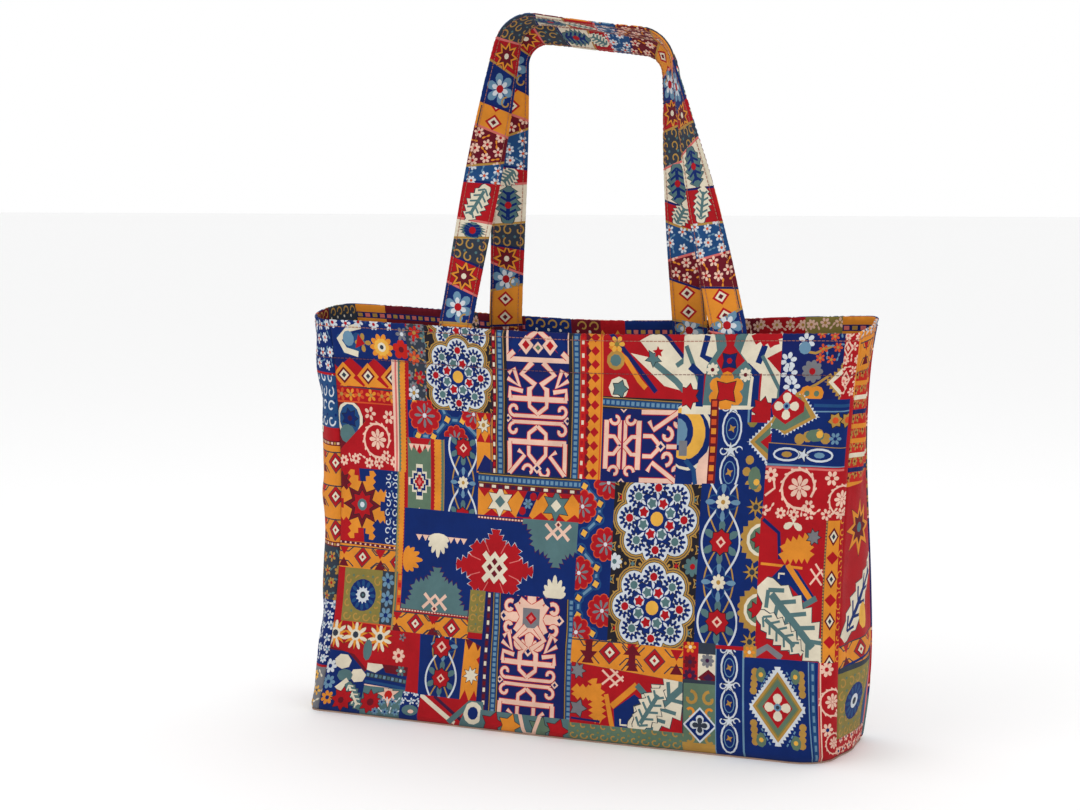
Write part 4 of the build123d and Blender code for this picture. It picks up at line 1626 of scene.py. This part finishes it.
def build(name, places, triangles, dyes, flat, smooth=True):
    """Mesh object from millimetre places, with its dye and flat coordinates on the corners."""
    mesh = bpy.data.meshes.new(name)
    mesh.from_pydata((places * MM).tolist(), [], [tuple(map(int, t)) for t in triangles])
    palette = np.array([[linear(v) for v in DYES[n]] + [1.0] for n in NAMES])
    colours = mesh.color_attributes.new("dye", "FLOAT_COLOR", "CORNER")
    colours.data.foreach_set("color", palette[np.repeat(dyes, 3)].ravel())
    corners = np.asarray(triangles).ravel()
    grain = mesh.uv_layers.new(name="Flat")
    grain.data.foreach_set("uv", (flat[corners] * MM).ravel())
    bake = mesh.uv_layers.new(name="OFBake")
    span = flat.max(axis=0) - flat.min(axis=0)
    share = (flat - flat.min(axis=0)) / span * np.array([0.98, 0.94]) + np.array([0.01, 0.05])
    uv = share[corners]
    back = np.repeat(dyes == NAMES.index("reverse"), 3)
    uv[back] = uv[back] * np.array([1.0, 0.035]) + np.array([0.0, 0.003])
    bake.data.foreach_set("uv", uv.ravel())
    mesh.validate()
    if smooth:
        mesh.shade_smooth()
    obj = bpy.data.objects.new(name, mesh)
    bpy.context.scene.collection.objects.link(obj)
    work = bmesh.new()
    work.from_mesh(mesh)
    open_edges = sum(1 for e in work.edges if not e.is_manifold)
    bmesh.ops.recalc_face_normals(work, faces=work.faces)
    if work.calc_volume() < 0:
        bmesh.ops.reverse_faces(work, faces=work.faces)
    work.to_mesh(mesh)
    work.free()
    print(name, "triangles", len(mesh.polygons), "open edges", open_edges)
    return obj


def stations(length, pitch, fine=()):
    """Even stations from 0 to a length, with extra ones where the form turns."""
    count = max(round(length / pitch), 2)
    places = set(round(length * i / count, 3) for i in range(count + 1))
    return sorted(places | set(round(f, 3) for f in fine))


def wall(body, name, row, cut, seed):
    """One wall of the bag: printed outside and hem, pale reverse inside, closed all round."""
    width, hem_end = cut.width, cut.height
    turn = [LEVELS[3] + body.cloth * pi * k / 6 for k in range(7)]
    edge = [0.8, 1.8, 3.2]
    columns = stations(width, 5, edge + [width - e for e in edge])
    rows = stations(hem_end, 5, turn + [1, 2.5, 5, LEVELS[3] - 3, LEVELS[3] - 5, LEVELS[3] - 7])
    flat, triangles, dyes = triangulated(cut, columns, rows)
    places = drape(body, row, width, seed, flat[:, 0], flat[:, 1])
    count = len(flat)
    high = LEVELS[3] - body.hem + 3
    reverse_columns, reverse_rows = stations(width, 5), stations(high, 5)
    grid_u, grid_v = np.meshgrid(reverse_columns, reverse_rows)
    inner = drape(body, row, width, seed, grid_u.ravel(), grid_v.ravel(), body.cloth)
    places = np.vstack([places, inner])
    flat_all = np.vstack([flat, np.stack([grid_u.ravel(), grid_v.ravel()], -1)])
    across = len(reverse_columns)

    def at(i, j):
        return count + j * across + i

    more = []
    for j in range(len(reverse_rows) - 1):
        for i in range(across - 1):
            more += [(at(i, j), at(i, j + 1), at(i + 1, j)), (at(i + 1, j), at(i, j + 1), at(i + 1, j + 1))]
    keys = {i: flat_all[i, 0] for i in range(len(flat_all))}
    bottom = sorted(np.flatnonzero(flat[:, 1] < 1e-3), key=lambda i: flat[i, 0])
    end = sorted(np.flatnonzero(flat[:, 1] > hem_end - 1e-3), key=lambda i: flat[i, 0])
    more += zipper(bottom, [at(i, 0) for i in range(across)], keys)
    more += zipper([at(i, len(reverse_rows) - 1) for i in range(across)], end, keys)
    heights = {i: float(places[i, 2]) for i in range(len(places))}
    crown = LEVELS[3] + body.cloth * pi / 2
    for x, i in ((0.0, 0), (width, across - 1)):
        side = np.flatnonzero(np.abs(flat[:, 0] - x) < 1e-3)
        out = sorted((k for k in side if flat[k, 1] < crown + 0.01), key=lambda k: flat[k, 1])
        inside = sorted((k for k in side if flat[k, 1] > crown - 0.01), key=lambda k: -flat[k, 1])
        back = [at(i, j) for j in range(len(reverse_rows))] + inside
        more += zipper(out, back, heights)
    more = [t for t in more if len(set(t)) == 3]
    reverse = np.full(len(more), NAMES.index("reverse"))
    return build(name, places, np.vstack([triangles, more]), np.concatenate([dyes, reverse]), flat_all)


def cut_size(body, row, tall):
    """Widest row of a wall and the area of its flat cut with the hem, in metres."""
    a = np.linspace(0, 1, 200)
    runs = []
    for z in np.linspace(0, LEVELS[3], 60):
        x, y = row(body, a, np.full_like(a, z), 0.0)
        runs.append(np.hypot(np.diff(x), np.diff(y)).sum())
    area = np.mean(runs) * LEVELS[3] + runs[-1] * (tall - LEVELS[3])
    return max(runs) * MM, area * MM * MM


def base_sheet(body, name, cut):
    """The flat base, one cloth thick, its edge just inside the walls."""
    outline = []
    for row, steps in ((front_row, 48), (right_row, 10), (back_row, 48), (left_row, 20)):
        a = np.linspace(0, 1, steps, endpoint=False)
        outline += list(zip(*row(body, a, np.zeros(steps), 1.4)))
    low = np.array(outline).min(axis=0)
    outline = [(round(float(x - low[0]), 2), round(float(y - low[1]), 2)) for x, y in outline]
    flat, corners, dyes = triangulated(cut, stations(cut.width, 12), stations(cut.height, 12), outline)
    x, y = flat[corners].mean(axis=1).T
    kept = inside(outline, x, y)
    corners, dyes = corners[kept], dyes[kept]
    used, corners = np.unique(corners, return_inverse=True)
    flat, corners = flat[used], corners.reshape(-1, 3)
    count = len(flat)
    under = np.column_stack([flat + low, np.full(count, 0.02)])
    over = np.column_stack([flat + low, np.full(count, body.cloth)])
    directed = {(t[i - 1], t[i]) for t in corners.tolist() for i in range(3)}
    more = [[i + count for i in t[::-1]] for t in corners.tolist()]
    for a, b in sorted(directed):
        if (b, a) not in directed:
            more += [[b, a, a + count], [b, a + count, b + count]]
    dyes = np.concatenate([dyes, np.full(len(more), NAMES.index("reverse"))])
    return build(
        name, np.vstack([under, over]), np.vstack([corners, more]), dyes, np.vstack([flat, flat]),
        False,
    )


def filleted(corners, radii, pitch):
    """Even points along straight runs joined by tangent arcs."""
    corners = [Vector(c) for c in corners]
    path = [corners[0]]
    for before, corner, after, radius in zip(corners, corners[1:], corners[2:], radii):
        back, ahead = (before - corner).normalized(), (after - corner).normalized()
        half = back.angle(ahead) / 2
        reach = radius / np.tan(half)
        centre = corner + (back + ahead).normalized() * (radius / sin(half))
        start, end = corner + back * reach - centre, corner + ahead * reach - centre
        sweep = start.angle(end)
        steps = max(int(radius * sweep / 2), 2)
        for k in range(steps + 1):
            share = k / steps
            path.append(centre + (start * sin((1 - share) * sweep) + end * sin(share * sweep)) / sin(sweep))
    path.append(corners[-1])
    lengths = np.cumsum([0] + [(b - a).length for a, b in zip(path, path[1:])])
    total = lengths[-1]
    even = np.linspace(0, total, max(int(total / pitch), 2) + 1)
    array = np.array([list(p) for p in path])
    return np.stack([np.interp(even, lengths, array[:, k]) for k in range(3)], -1), total


def strap_form(body, strap):
    """Middle line of a strap, its even stations and the way its outer face looks at each."""
    side = strap.side
    seat = 2 * body.cloth + strap.clearance + strap.thickness / 2
    ends = []
    for x in (strap.foot_left, strap.foot_right):
        z = float(rim_at(body, x, side * body.depth[3] / 2))
        for height in (z - strap.foot, z):
            middle = (
                at_height(height, body.right) - at_height(
                    height, body.corner,
                ) - at_height(height, body.left)
            ) / 2
            half = at_height(height, body.right) - at_height(height, body.corner) - middle
            bulge = at_height(height, body.belly) * cos(pi / 2 * (x - middle) / half) ** 2
            y = at_height(height, body.lag) + side * (at_height(height, body.depth) / 2 + bulge - seat)
            ends.append((x, y, height))
    corners = [ends[0], ends[1], tuple(strap.top_left), tuple(strap.top_right), ends[3], ends[2]]
    line, total = filleted(corners, (strap.foot_bend, strap.top_bend, strap.top_bend, strap.foot_bend), 3.0)
    along = np.gradient(line, axis=0)
    along /= np.linalg.norm(along, axis=1)[:, None]
    t = np.linspace(0, 1, len(line))
    turn = np.ones(len(line))
    for share in (t, 1 - t):
        s = np.clip((share - strap.twist_start) / (strap.twist_done - strap.twist_start), 0, 1)
        turn *= s * s * (3 - 2 * s)
    facing = np.array([0.0, -1.0, 0.0]) - along * (along @ np.array([0.0, -1.0, 0.0]))[:, None]
    facing /= np.linalg.norm(facing, axis=1)[:, None]
    inward = np.cross(along, facing)
    angle = radians(strap.twist) * turn
    normal = facing * np.cos(angle)[:, None] + inward * np.sin(angle)[:, None]
    return line, total, normal, np.cross(along, normal)


def strap_mesh(body, name, strap, seed):
    """Folded cloth strap: printed all round, soft edges, a little wave and crown."""
    line, total, normal, across = strap_form(body, strap)
    edge = strap.thickness / 2
    straight = strap.width - 2 * edge
    around = 2 * straight + 2 * pi * edge
    seam = 0.5
    cut = strap_print(total, around - seam, seed)
    total, high = cut.width, cut.height
    turns = [straight / 2 + pi * edge * k / 6 for k in range(7)]
    turns += [straight * 1.5 + pi * edge + pi * edge * k / 6 for k in range(7)]
    fine = [t for t in turns if t < high]
    flat, triangles, dyes = triangulated(cut, stations(total, 4), stations(high, 4, fine))
    u, c = flat[:, 0], flat[:, 1] + seam / 2
    stops = np.linspace(0, total, len(line))
    middle, out, wide = (
        np.stack([np.interp(u, stops, part[:, k]) for k in range(3)], -1)
        for part in (line, normal, across)
    )
    first_edge = straight / 2
    second_edge = straight * 1.5 + pi * edge
    first = np.clip((c - first_edge) / edge, 0, pi)
    last = np.clip((c - second_edge) / edge, 0, pi)
    beyond = c >= second_edge
    over = first_edge - np.clip(c - first_edge - pi * edge, 0, straight)
    back = -first_edge + np.clip(c - second_edge - pi * edge, 0, straight)
    width = np.where(c < first_edge, c, np.where(beyond, back, over))
    lift = edge * np.where(beyond, np.cos(last), -np.cos(first))
    reach = edge * np.where(beyond, -np.sin(last), np.sin(first))
    stitch = 0.28 * np.exp(-((np.abs(np.abs(width) - strap.width / 2 + 3.2) / 0.9) ** 2)) * np.sign(lift)
    ends = np.clip(np.minimum(u, total - u) / 45, 0, 1)
    wave = ends * (0.5 * np.sin(u / 26 + seed) + 0.25 * np.sin(u / 11 + width / 9 + seed))
    bend = -0.55 * ends * (width / (strap.width / 2)) ** 2
    places = middle + wide * (width + reach)[:, None] + out * (
        lift - stitch + wave * 0.5 + bend * 0.6
    )[:, None]
    keys = {i: float(u[i]) for i in range(len(flat))}
    low = sorted(np.flatnonzero(flat[:, 1] < 1e-3), key=lambda i: u[i])
    top = sorted(np.flatnonzero(flat[:, 1] > high - 1e-3), key=lambda i: u[i])
    more = zipper(low, top, keys)
    for x in (0.0, total):
        loop = sorted(np.flatnonzero(np.abs(u - x) < 2e-3), key=lambda i: flat[i, 1])
        for k in range((len(loop) - 1) // 2):
            a, b, d, e = loop[k], loop[k + 1], loop[-1 - k], loop[-2 - k]
            more += [t for t in ((a, b, d), (b, e, d)) if len(set(t)) == 3]
    obj = build(
        name, places, np.vstack([triangles, more]),
        np.concatenate([dyes, np.full(len(more), NAMES.index("maroon"))]), flat,
    )
    return obj, total


# Sewing


def thread_nodes(material):
    """Short stitches along every line of the sewing, set end to end with a small gap."""
    tree = bpy.data.node_groups.new("Sewing thread", "GeometryNodeTree")
    face = tree.interface
    face.new_socket("Lines", in_out="INPUT", socket_type="NodeSocketGeometry")
    for label, value in (("Pitch", 0.0033), ("Stitch Length", 0.0024), ("Thread Radius", 0.00028)):
        socket = face.new_socket(label, in_out="INPUT", socket_type="NodeSocketFloat")
        socket.default_value = value
        socket.subtype = "DISTANCE"
    face.new_socket("Stitches", in_out="OUTPUT", socket_type="NodeSocketGeometry")
    nodes, links = tree.nodes, tree.links
    source, target = nodes.new("NodeGroupInput"), nodes.new("NodeGroupOutput")
    curve = nodes.new("GeometryNodeMeshToCurve")
    links.new(source.outputs["Lines"], curve.inputs["Mesh"])
    points = nodes.new("GeometryNodeCurveToPoints")
    points.mode = "LENGTH"
    links.new(curve.outputs["Curve"], points.inputs["Curve"])
    links.new(source.outputs["Pitch"], points.inputs["Length"])
    stitch = nodes.new("GeometryNodeMeshCylinder")
    stitch.inputs["Vertices"].default_value = 6
    stitch.inputs["Side Segments"].default_value = 1
    links.new(source.outputs["Thread Radius"], stitch.inputs["Radius"])
    links.new(source.outputs["Stitch Length"], stitch.inputs["Depth"])
    aim = nodes.new("FunctionNodeAlignRotationToVector")
    aim.axis = "Z"
    links.new(points.outputs["Tangent"], aim.inputs["Vector"])
    place = nodes.new("GeometryNodeInstanceOnPoints")
    links.new(points.outputs["Points"], place.inputs["Points"])
    links.new(stitch.outputs["Mesh"], place.inputs["Instance"])
    links.new(aim.outputs["Rotation"], place.inputs["Rotation"])
    real = nodes.new("GeometryNodeRealizeInstances")
    links.new(place.outputs["Instances"], real.inputs["Geometry"])
    paint = nodes.new("GeometryNodeSetMaterial")
    paint.inputs["Material"].default_value = material
    links.new(real.outputs["Geometry"], paint.inputs["Geometry"])
    links.new(paint.outputs["Geometry"], target.inputs["Stitches"])
    return tree


def sewn(name, lines, material, pitch, length, radius):
    """Plain mesh of stitches along lines given in millimetres."""
    mesh = bpy.data.meshes.new(name + "_lines")
    points, edges = [], []
    for line in lines:
        start = len(points)
        points += [tuple(np.asarray(p) * MM) for p in line]
        edges += [(start + i, start + i + 1) for i in range(len(line) - 1)]
    mesh.from_pydata(points, edges, [])
    guide = bpy.data.objects.new(name + "_lines", mesh)
    bpy.context.scene.collection.objects.link(guide)
    tree = thread_nodes(material)
    modifier = guide.modifiers.new("Sewing", "NODES")
    modifier.node_group = tree
    values = {"Pitch": pitch * MM, "Stitch Length": length * MM, "Thread Radius": radius * MM}
    for item in tree.interface.items_tree:
        if item.in_out == "INPUT" and item.name in values:
            modifier[item.identifier] = values[item.name]
    depsgraph = bpy.context.evaluated_depsgraph_get()
    made = bpy.data.meshes.new_from_object(guide.evaluated_get(depsgraph))
    made.name = name
    bpy.data.objects.remove(guide)
    bpy.data.meshes.remove(mesh)
    if not made.polygons:
        raise RuntimeError("no stitches were made for " + name)
    obj = bpy.data.objects.new(name, made)
    bpy.context.scene.collection.objects.link(obj)
    return obj


def thread_material(name, colour):
    material = bpy.data.materials.new(name)
    material.use_nodes = True
    nodes, links = material.node_tree.nodes, material.node_tree.links
    shader = nodes["Principled BSDF"]
    shader.inputs["Roughness"].default_value = 0.55
    shader.inputs["Sheen Weight"].default_value = 0.3
    place = nodes.new("ShaderNodeTexCoord")
    noise = nodes.new("ShaderNodeTexNoise")
    noise.inputs["Scale"].default_value = 900.0
    links.new(place.outputs["Object"], noise.inputs["Vector"])
    ramp = nodes.new("ShaderNodeMix")
    ramp.data_type = "RGBA"
    ramp.inputs["A"].default_value = (*(linear(v) * 0.7 for v in colour), 1)
    ramp.inputs["B"].default_value = (*(linear(v) for v in colour), 1)
    links.new(noise.outputs["Fac"], ramp.inputs["Factor"])
    links.new(ramp.outputs["Result"], shader.inputs["Base Color"])
    return material


# Settings


class BagBody(bpy.types.PropertyGroup):
    left: FloatVectorProperty(
        name="Left", description="Middle to the left seams at base, heel, waist and rim, mm", size=4,
        default=(233, 221, 210.5, 230),
    )
    right: FloatVectorProperty(
        name="Right", description="Middle to the right side at the four levels, mm", size=4,
        default=(215, 220, 223, 231),
    )
    depth: FloatVectorProperty(
        name="Depth", description="Front to back at the four levels, mm", size=4,
        default=(120, 114, 86, 50),
    )
    lag: FloatVectorProperty(
        name="Lag", description="How far the body lies back at the four levels, mm", size=4,
        default=(14, 7, 0, 0),
    )
    round: FloatVectorProperty(
        name="Round", description="Radius of the left gusset's corners at the four levels, mm", size=4,
        default=(11, 16, 26, 24),
    )
    corner: FloatVectorProperty(
        name="Corner", description="Radius of the right corners at the four levels, mm", size=4,
        default=(30, 18, 9, 8),
    )
    belly: FloatVectorProperty(
        name="Belly", description="Bulge of front and back at the four levels, mm", size=4,
        default=(3, 7, 8, 3),
    )
    left_swell: FloatProperty(
        name="Left swell", description="Swell of the left gusset, as a share of its flat stretch",
        default=0.12, min=0, max=0.5,
    )
    right_swell: FloatProperty(
        name="Right swell", description="Swell of the right gusset, mm", default=3, min=0, max=10,
    )
    back_rise: FloatProperty(
        name="Back rise", description="How much higher the back rim stands, mm", default=11.5, min=0,
        max=30,
    )
    front_sag: FloatProperty(
        name="Front sag", description="Sag of the front rim, mm", default=5, min=0, max=20,
    )
    back_sag: FloatProperty(
        name="Back sag", description="Sag of the back rim, mm", default=9.5, min=0, max=20,
    )
    cloth: FloatProperty(
        name="Cloth", description="Thickness of the cloth, mm", default=1.2, min=0.3, max=3,
    )
    hem: FloatProperty(name="Hem", description="Depth of the turned hem, mm", default=33, min=10, max=60)
    crease: FloatProperty(
        name="Creases", description="Strength of the soft folds", default=1.0, min=0, max=3,
    )
    seed: IntProperty(
        name="Seed", description="Seed of the folds and the scattered prints", default=11, min=0,
    )


class BagStrap(bpy.types.PropertyGroup):
    side: IntProperty(
        name="Side", description="-1 is the front handle, 1 the back one", default=-1, min=-1, max=1,
    )
    width: FloatProperty(name="Width", description="Strap width, mm", default=30, min=10, max=60)
    thickness: FloatProperty(name="Thickness", description="Strap thickness, mm", default=2.4, min=1, max=6)
    foot: FloatProperty(name="Foot", description="Length sewn to the hem, mm", default=30, min=10, max=60)
    clearance: FloatProperty(name="Clearance", description="Gap to the hem, mm", default=0.3, min=0, max=2)
    foot_bend: FloatProperty(
        name="Foot bend", description="Bend radius above the rim, mm", default=60, min=5, max=200,
    )
    top_bend: FloatProperty(
        name="Top bend", description="Bend radius at the top corners, mm", default=26, min=5, max=80,
    )
    foot_left: FloatProperty(
        name="Left foot", description="Middle line of the left foot, mm", default=-112.5,
    )
    foot_right: FloatProperty(
        name="Right foot", description="Middle line of the right foot, mm", default=125.5,
    )
    top_left: FloatVectorProperty(
        name="Top left", description="Left top corner, mm", size=3, default=(-65.5, -10, 577.5),
    )
    top_right: FloatVectorProperty(
        name="Top right", description="Right top corner, mm", size=3, default=(68, -10, 556.5),
    )
    twist: FloatProperty(
        name="Twist", description="How far the top has turned, degrees", default=80, min=0, max=90,
    )
    twist_start: FloatProperty(
        name="Twist start", description="Share of the length that stays flat", default=0.07, min=0,
        max=0.4,
    )
    twist_done: FloatProperty(
        name="Twist done", description="Share by which it is fully turned", default=0.48, min=0.1,
        max=0.5,
    )


class BagStage(bpy.types.PropertyGroup):
    azimuth: FloatProperty(name="Azimuth", description="Camera's way round the bag, degrees", default=25.04)
    pitch: FloatProperty(name="Pitch", description="Camera's height angle, degrees", default=5.374)
    distance: FloatProperty(
        name="Distance", description="Camera to the aim point, m", subtype="DISTANCE", unit="LENGTH",
        default=1.8379,
    )
    aim: FloatVectorProperty(
        name="Aim", description="Aim point in the layout frame, mm", size=3, default=(-46.36, 0, 263),
    )
    focal: FloatProperty(
        name="Focal", description="Focal length as a share of the picture's width", default=2.0832,
    )
    key: FloatProperty(name="Key", description="Power of the key light, W", default=9, min=0)


def layout_shift():
    """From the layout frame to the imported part's frame, in metres."""
    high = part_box("base_panel")[1]
    body = bpy.context.scene.bag_body
    x = high[0] - (body.right[0] + body.right_swell) * MM
    y = high[1] - (body.lag[0] + body.depth[0] / 2 + body.belly[0]) * MM
    return x, y, 0


def settle(obj):
    """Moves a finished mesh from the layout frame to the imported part's frame."""
    data = np.empty(len(obj.data.vertices) * 3)
    obj.data.vertices.foreach_get("co", data)
    data = data.reshape(-1, 3) + np.array(layout_shift())
    obj.data.vertices.foreach_set("co", data.ravel())
    obj.data.update()


def finished(obj, material, node):
    obj.data.materials.clear()
    obj.data.materials.append(material)
    settle(obj)
    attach(obj, "root")
    if node:
        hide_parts(node)


class BAG_OT_walls(bpy.types.Operator):
    """Make the four printed walls of the bag with their turned hem"""

    bl_idname = "bag.walls"
    bl_label = "Walls"

    def execute(self, context):
        body = context.scene.bag_body
        material = cloth_material("Printed cotton")
        tall = LEVELS[3] + pi * body.cloth + body.hem
        walls = (
            ("cloth_front", front_row, front_print(FACE_RUN, tall), "front_panel"),
            ("cloth_back", back_row, quilted(FACE_RUN, tall, body.seed, 7), "back_panel"),
            ("cloth_left", left_row, left_print(LEFT_RUN, tall), "left_gusset"),
            ("cloth_right", right_row, right_print(RIGHT_RUN, tall), "right_gusset"),
        )
        for k, (name, row, cut, node) in enumerate(walls):
            if name == "cloth_back":
                hem_print(cut, body.seed + 1)
            obj = wall(body, name, row, cut, body.seed + k)
            finished(obj, material, node)
            wide, area = cut_size(body, row, tall)
        return {"FINISHED"}


class BAG_OT_base(bpy.types.Operator):
    """Make the flat base of the bag"""

    bl_idname = "bag.base"
    bl_label = "Base"

    def execute(self, context):
        body = context.scene.bag_body
        obj = base_sheet(body, "cloth_base", quilted(480.0, 130.0, body.seed + 9, 6))
        finished(obj, bpy.data.materials["Printed cotton"], "base_panel")
        return {"FINISHED"}


class BAG_OT_straps(bpy.types.Operator):
    """Make the two twisted strap handles"""

    bl_idname = "bag.straps"
    bl_label = "Straps"

    def execute(self, context):
        scene = context.scene
        material = cloth_material("Strap cotton")
        for name, strap, node, seed in (
            ("strap_front", scene.bag_front_strap, "front_handle", 3),
            ("strap_back", scene.bag_back_strap, "back_handle", 8),
        ):
            obj, total = strap_mesh(scene.bag_body, name, strap, seed)
            finished(obj, material, node)
        return {"FINISHED"}


class BAG_OT_sewing(bpy.types.Operator):
    """Sew the rim, the hem, the straps' edges and the box stitches of their feet"""

    bl_idname = "bag.sewing"
    bl_label = "Sewing"

    def execute(self, context):
        scene = context.scene
        body = scene.bag_body
        pale = thread_material("Pale thread", (0.62, 0.35, 0.25))
        dark = thread_material("Dark thread", (0.40, 0.10, 0.10))
        tall = LEVELS[3] + pi * body.cloth + body.hem
        rim, hems = [], []
        for k, (row, width) in enumerate(
            ((front_row, FACE_RUN), (back_row, FACE_RUN), (left_row, LEFT_RUN), (right_row, RIGHT_RUN))
        ):
            u = np.linspace(2, width - 2, int(width / 3))
            for v, lines in ((LEVELS[3] - 4.5, rim), (LEVELS[3] - body.hem + 2, hems), (tall - 4, hems)):
                lines.append(
                    drape(
                        body, row, width, body.seed + k, u, np.full_like(u, v),
                        -0.22 if v < LEVELS[3] else 0.22,
                    )
                )
        obj = sewn("thread_rim", rim, pale, 3.4, 2.5, 0.3)
        finished(obj, pale, None)
        obj = sewn("thread_hem", hems, dark, 3.4, 2.5, 0.28)
        finished(obj, dark, None)
        edges = []
        for strap in (scene.bag_front_strap, scene.bag_back_strap):
            line, _, normal, across = strap_form(body, strap)
            for face in (-1, 1):
                for side in (-1, 1):
                    edges.append(
                        line + across * side * (strap.width / 2 - 3.2) + normal * face * (
                            strap.thickness / 2 + 0.02
                        )
                    )
            for end in (0, -1):
                step = 1 if end == 0 else -1
                foot = line[::step]
                count = int((strap.foot - 4) / 3.0)
                n, w = normal[::step], across[::step]
                place = [foot[i] - n[i] * (strap.thickness / 2 + 0.12) for i in range(count + 1)]
                corners = [
                    place[0] + w[0] * 10, place[0] - w[0] * 10, place[count] - w[count] * 10,
                    place[count] + w[count] * 10,
                ]
                edges += [corners + corners[:1], [corners[0], corners[2]], [corners[1], corners[3]]]
        obj = sewn("thread_straps", edges, pale, 3.2, 2.4, 0.28)
        finished(obj, pale, None)
        return {"FINISHED"}


class BAG_OT_stage(bpy.types.Operator):
    """Set up the pale floor, the soft lights and the camera"""

    bl_idname = "bag.stage"
    bl_label = "Stage"

    def execute(self, context):
        scene = context.scene
        stage = scene.bag_stage
        mesh = bpy.data.meshes.new("floor")
        mesh.from_pydata([(-40, -40, 0), (40, -40, 0), (40, 40, 0), (-40, 40, 0)], [], [(0, 1, 2, 3)])
        floor = bpy.data.objects.new("floor", mesh)
        scene.collection.objects.link(floor)
        paper = bpy.data.materials.new("Pale paper")
        paper.use_nodes = True
        paper.node_tree.nodes["Principled BSDF"].inputs["Base Color"].default_value = (0.93, 0.93, 0.93, 1)
        paper.node_tree.nodes["Principled BSDF"].inputs["Roughness"].default_value = 0.9
        mesh.materials.append(paper)
        aim = Vector(stage.aim) * MM + Vector(layout_shift())
        azimuth, pitch = radians(stage.azimuth), radians(stage.pitch)
        back = Vector((sin(azimuth) * cos(pitch), -cos(azimuth) * cos(pitch), sin(pitch)))
        camera = bpy.data.objects.new("Camera", bpy.data.cameras.new("Camera"))
        scene.collection.objects.link(camera)
        camera.location = aim + back * stage.distance
        camera.rotation_euler = (-back).to_track_quat("-Z", "Y").to_euler()
        camera.data.sensor_width = 36.0
        camera.data.lens = stage.focal * 36.0
        scene.camera = camera
        for name, place, size, power in (
            ("Key", (-0.9, -1.9, 1.6), 1.6, stage.key),
            ("Fill", (1.8, -1.4, 0.9), 1.8, stage.key * 0.4),
            ("Top", (0.1, 0.5, 2.2), 1.6, stage.key * 0.5),
        ):
            light = bpy.data.objects.new(name, bpy.data.lights.new(name, "AREA"))
            light.data.energy = power
            light.data.size = size
            light.location = place
            light.rotation_euler = (
                Vector((0, 0, 0.28)) - Vector(place)
            ).to_track_quat("-Z", "Y").to_euler()
            scene.collection.objects.link(light)
        world = bpy.data.worlds.new("Studio")
        world.use_nodes = True
        nodes, links = world.node_tree.nodes, world.node_tree.links
        plain = nodes["Background"]
        plain.inputs["Color"].default_value = (1, 1, 1, 1)
        plain.inputs["Strength"].default_value = 1.0
        white = nodes.new("ShaderNodeBackground")
        white.inputs["Color"].default_value = (1, 1, 1, 1)
        white.inputs["Strength"].default_value = 1.0
        rays = nodes.new("ShaderNodeLightPath")
        seen = nodes.new("ShaderNodeMath")
        seen.operation = "MAXIMUM"
        links.new(rays.outputs["Is Camera Ray"], seen.inputs[0])
        links.new(rays.outputs["Is Glossy Ray"], seen.inputs[1])
        mix = nodes.new("ShaderNodeMixShader")
        links.new(seen.outputs["Value"], mix.inputs["Fac"])
        links.new(plain.outputs["Background"], mix.inputs[1])
        links.new(white.outputs["Background"], mix.inputs[2])
        links.new(mix.outputs["Shader"], nodes["World Output"].inputs["Surface"])
        scene.world = world
        scene.view_settings.view_transform = "Standard"
        return {"FINISHED"}


class BAG_PT_panel(bpy.types.Panel):
    bl_label = "Bag"
    bl_idname = "BAG_PT_panel"
    bl_space_type = "VIEW_3D"
    bl_region_type = "UI"
    bl_category = "Bag"

    def draw(self, context):
        layout = self.layout
        body = context.scene.bag_body
        for name in ("cloth", "hem", "crease", "seed"):
            layout.prop(body, name)
        for operator in STEPS:
            layout.operator(operator.bl_idname)


STEPS = (BAG_OT_walls, BAG_OT_base, BAG_OT_straps, BAG_OT_sewing, BAG_OT_stage)
CLASSES = (BagBody, BagStrap, BagStage) + STEPS + (BAG_PT_panel,)


def register():
    for cls in CLASSES:
        bpy.utils.register_class(cls)
    bpy.types.Scene.bag_body = bpy.props.PointerProperty(type=BagBody)
    bpy.types.Scene.bag_front_strap = bpy.props.PointerProperty(type=BagStrap)
    bpy.types.Scene.bag_back_strap = bpy.props.PointerProperty(type=BagStrap)
    bpy.types.Scene.bag_stage = bpy.props.PointerProperty(type=BagStage)


def unregister():
    for name in ("bag_stage", "bag_back_strap", "bag_front_strap", "bag_body"):
        delattr(bpy.types.Scene, name)
    for cls in reversed(CLASSES):
        bpy.utils.unregister_class(cls)


def main():
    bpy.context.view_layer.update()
    register()
    back = bpy.context.scene.bag_back_strap
    back.side = 1
    back.foot_left = -88.5
    back.foot_right = 75.0
    back.top_left = (-80.0, 20.0, 568.5)
    back.top_right = (56.5, 20.0, 551.0)
    back.twist = 55.0
    bpy.ops.bag.walls()
    bpy.ops.bag.base()
    bpy.ops.bag.straps()
    bpy.ops.bag.sewing()
    bpy.ops.bag.stage()


if __name__ == "__main__":
    main()
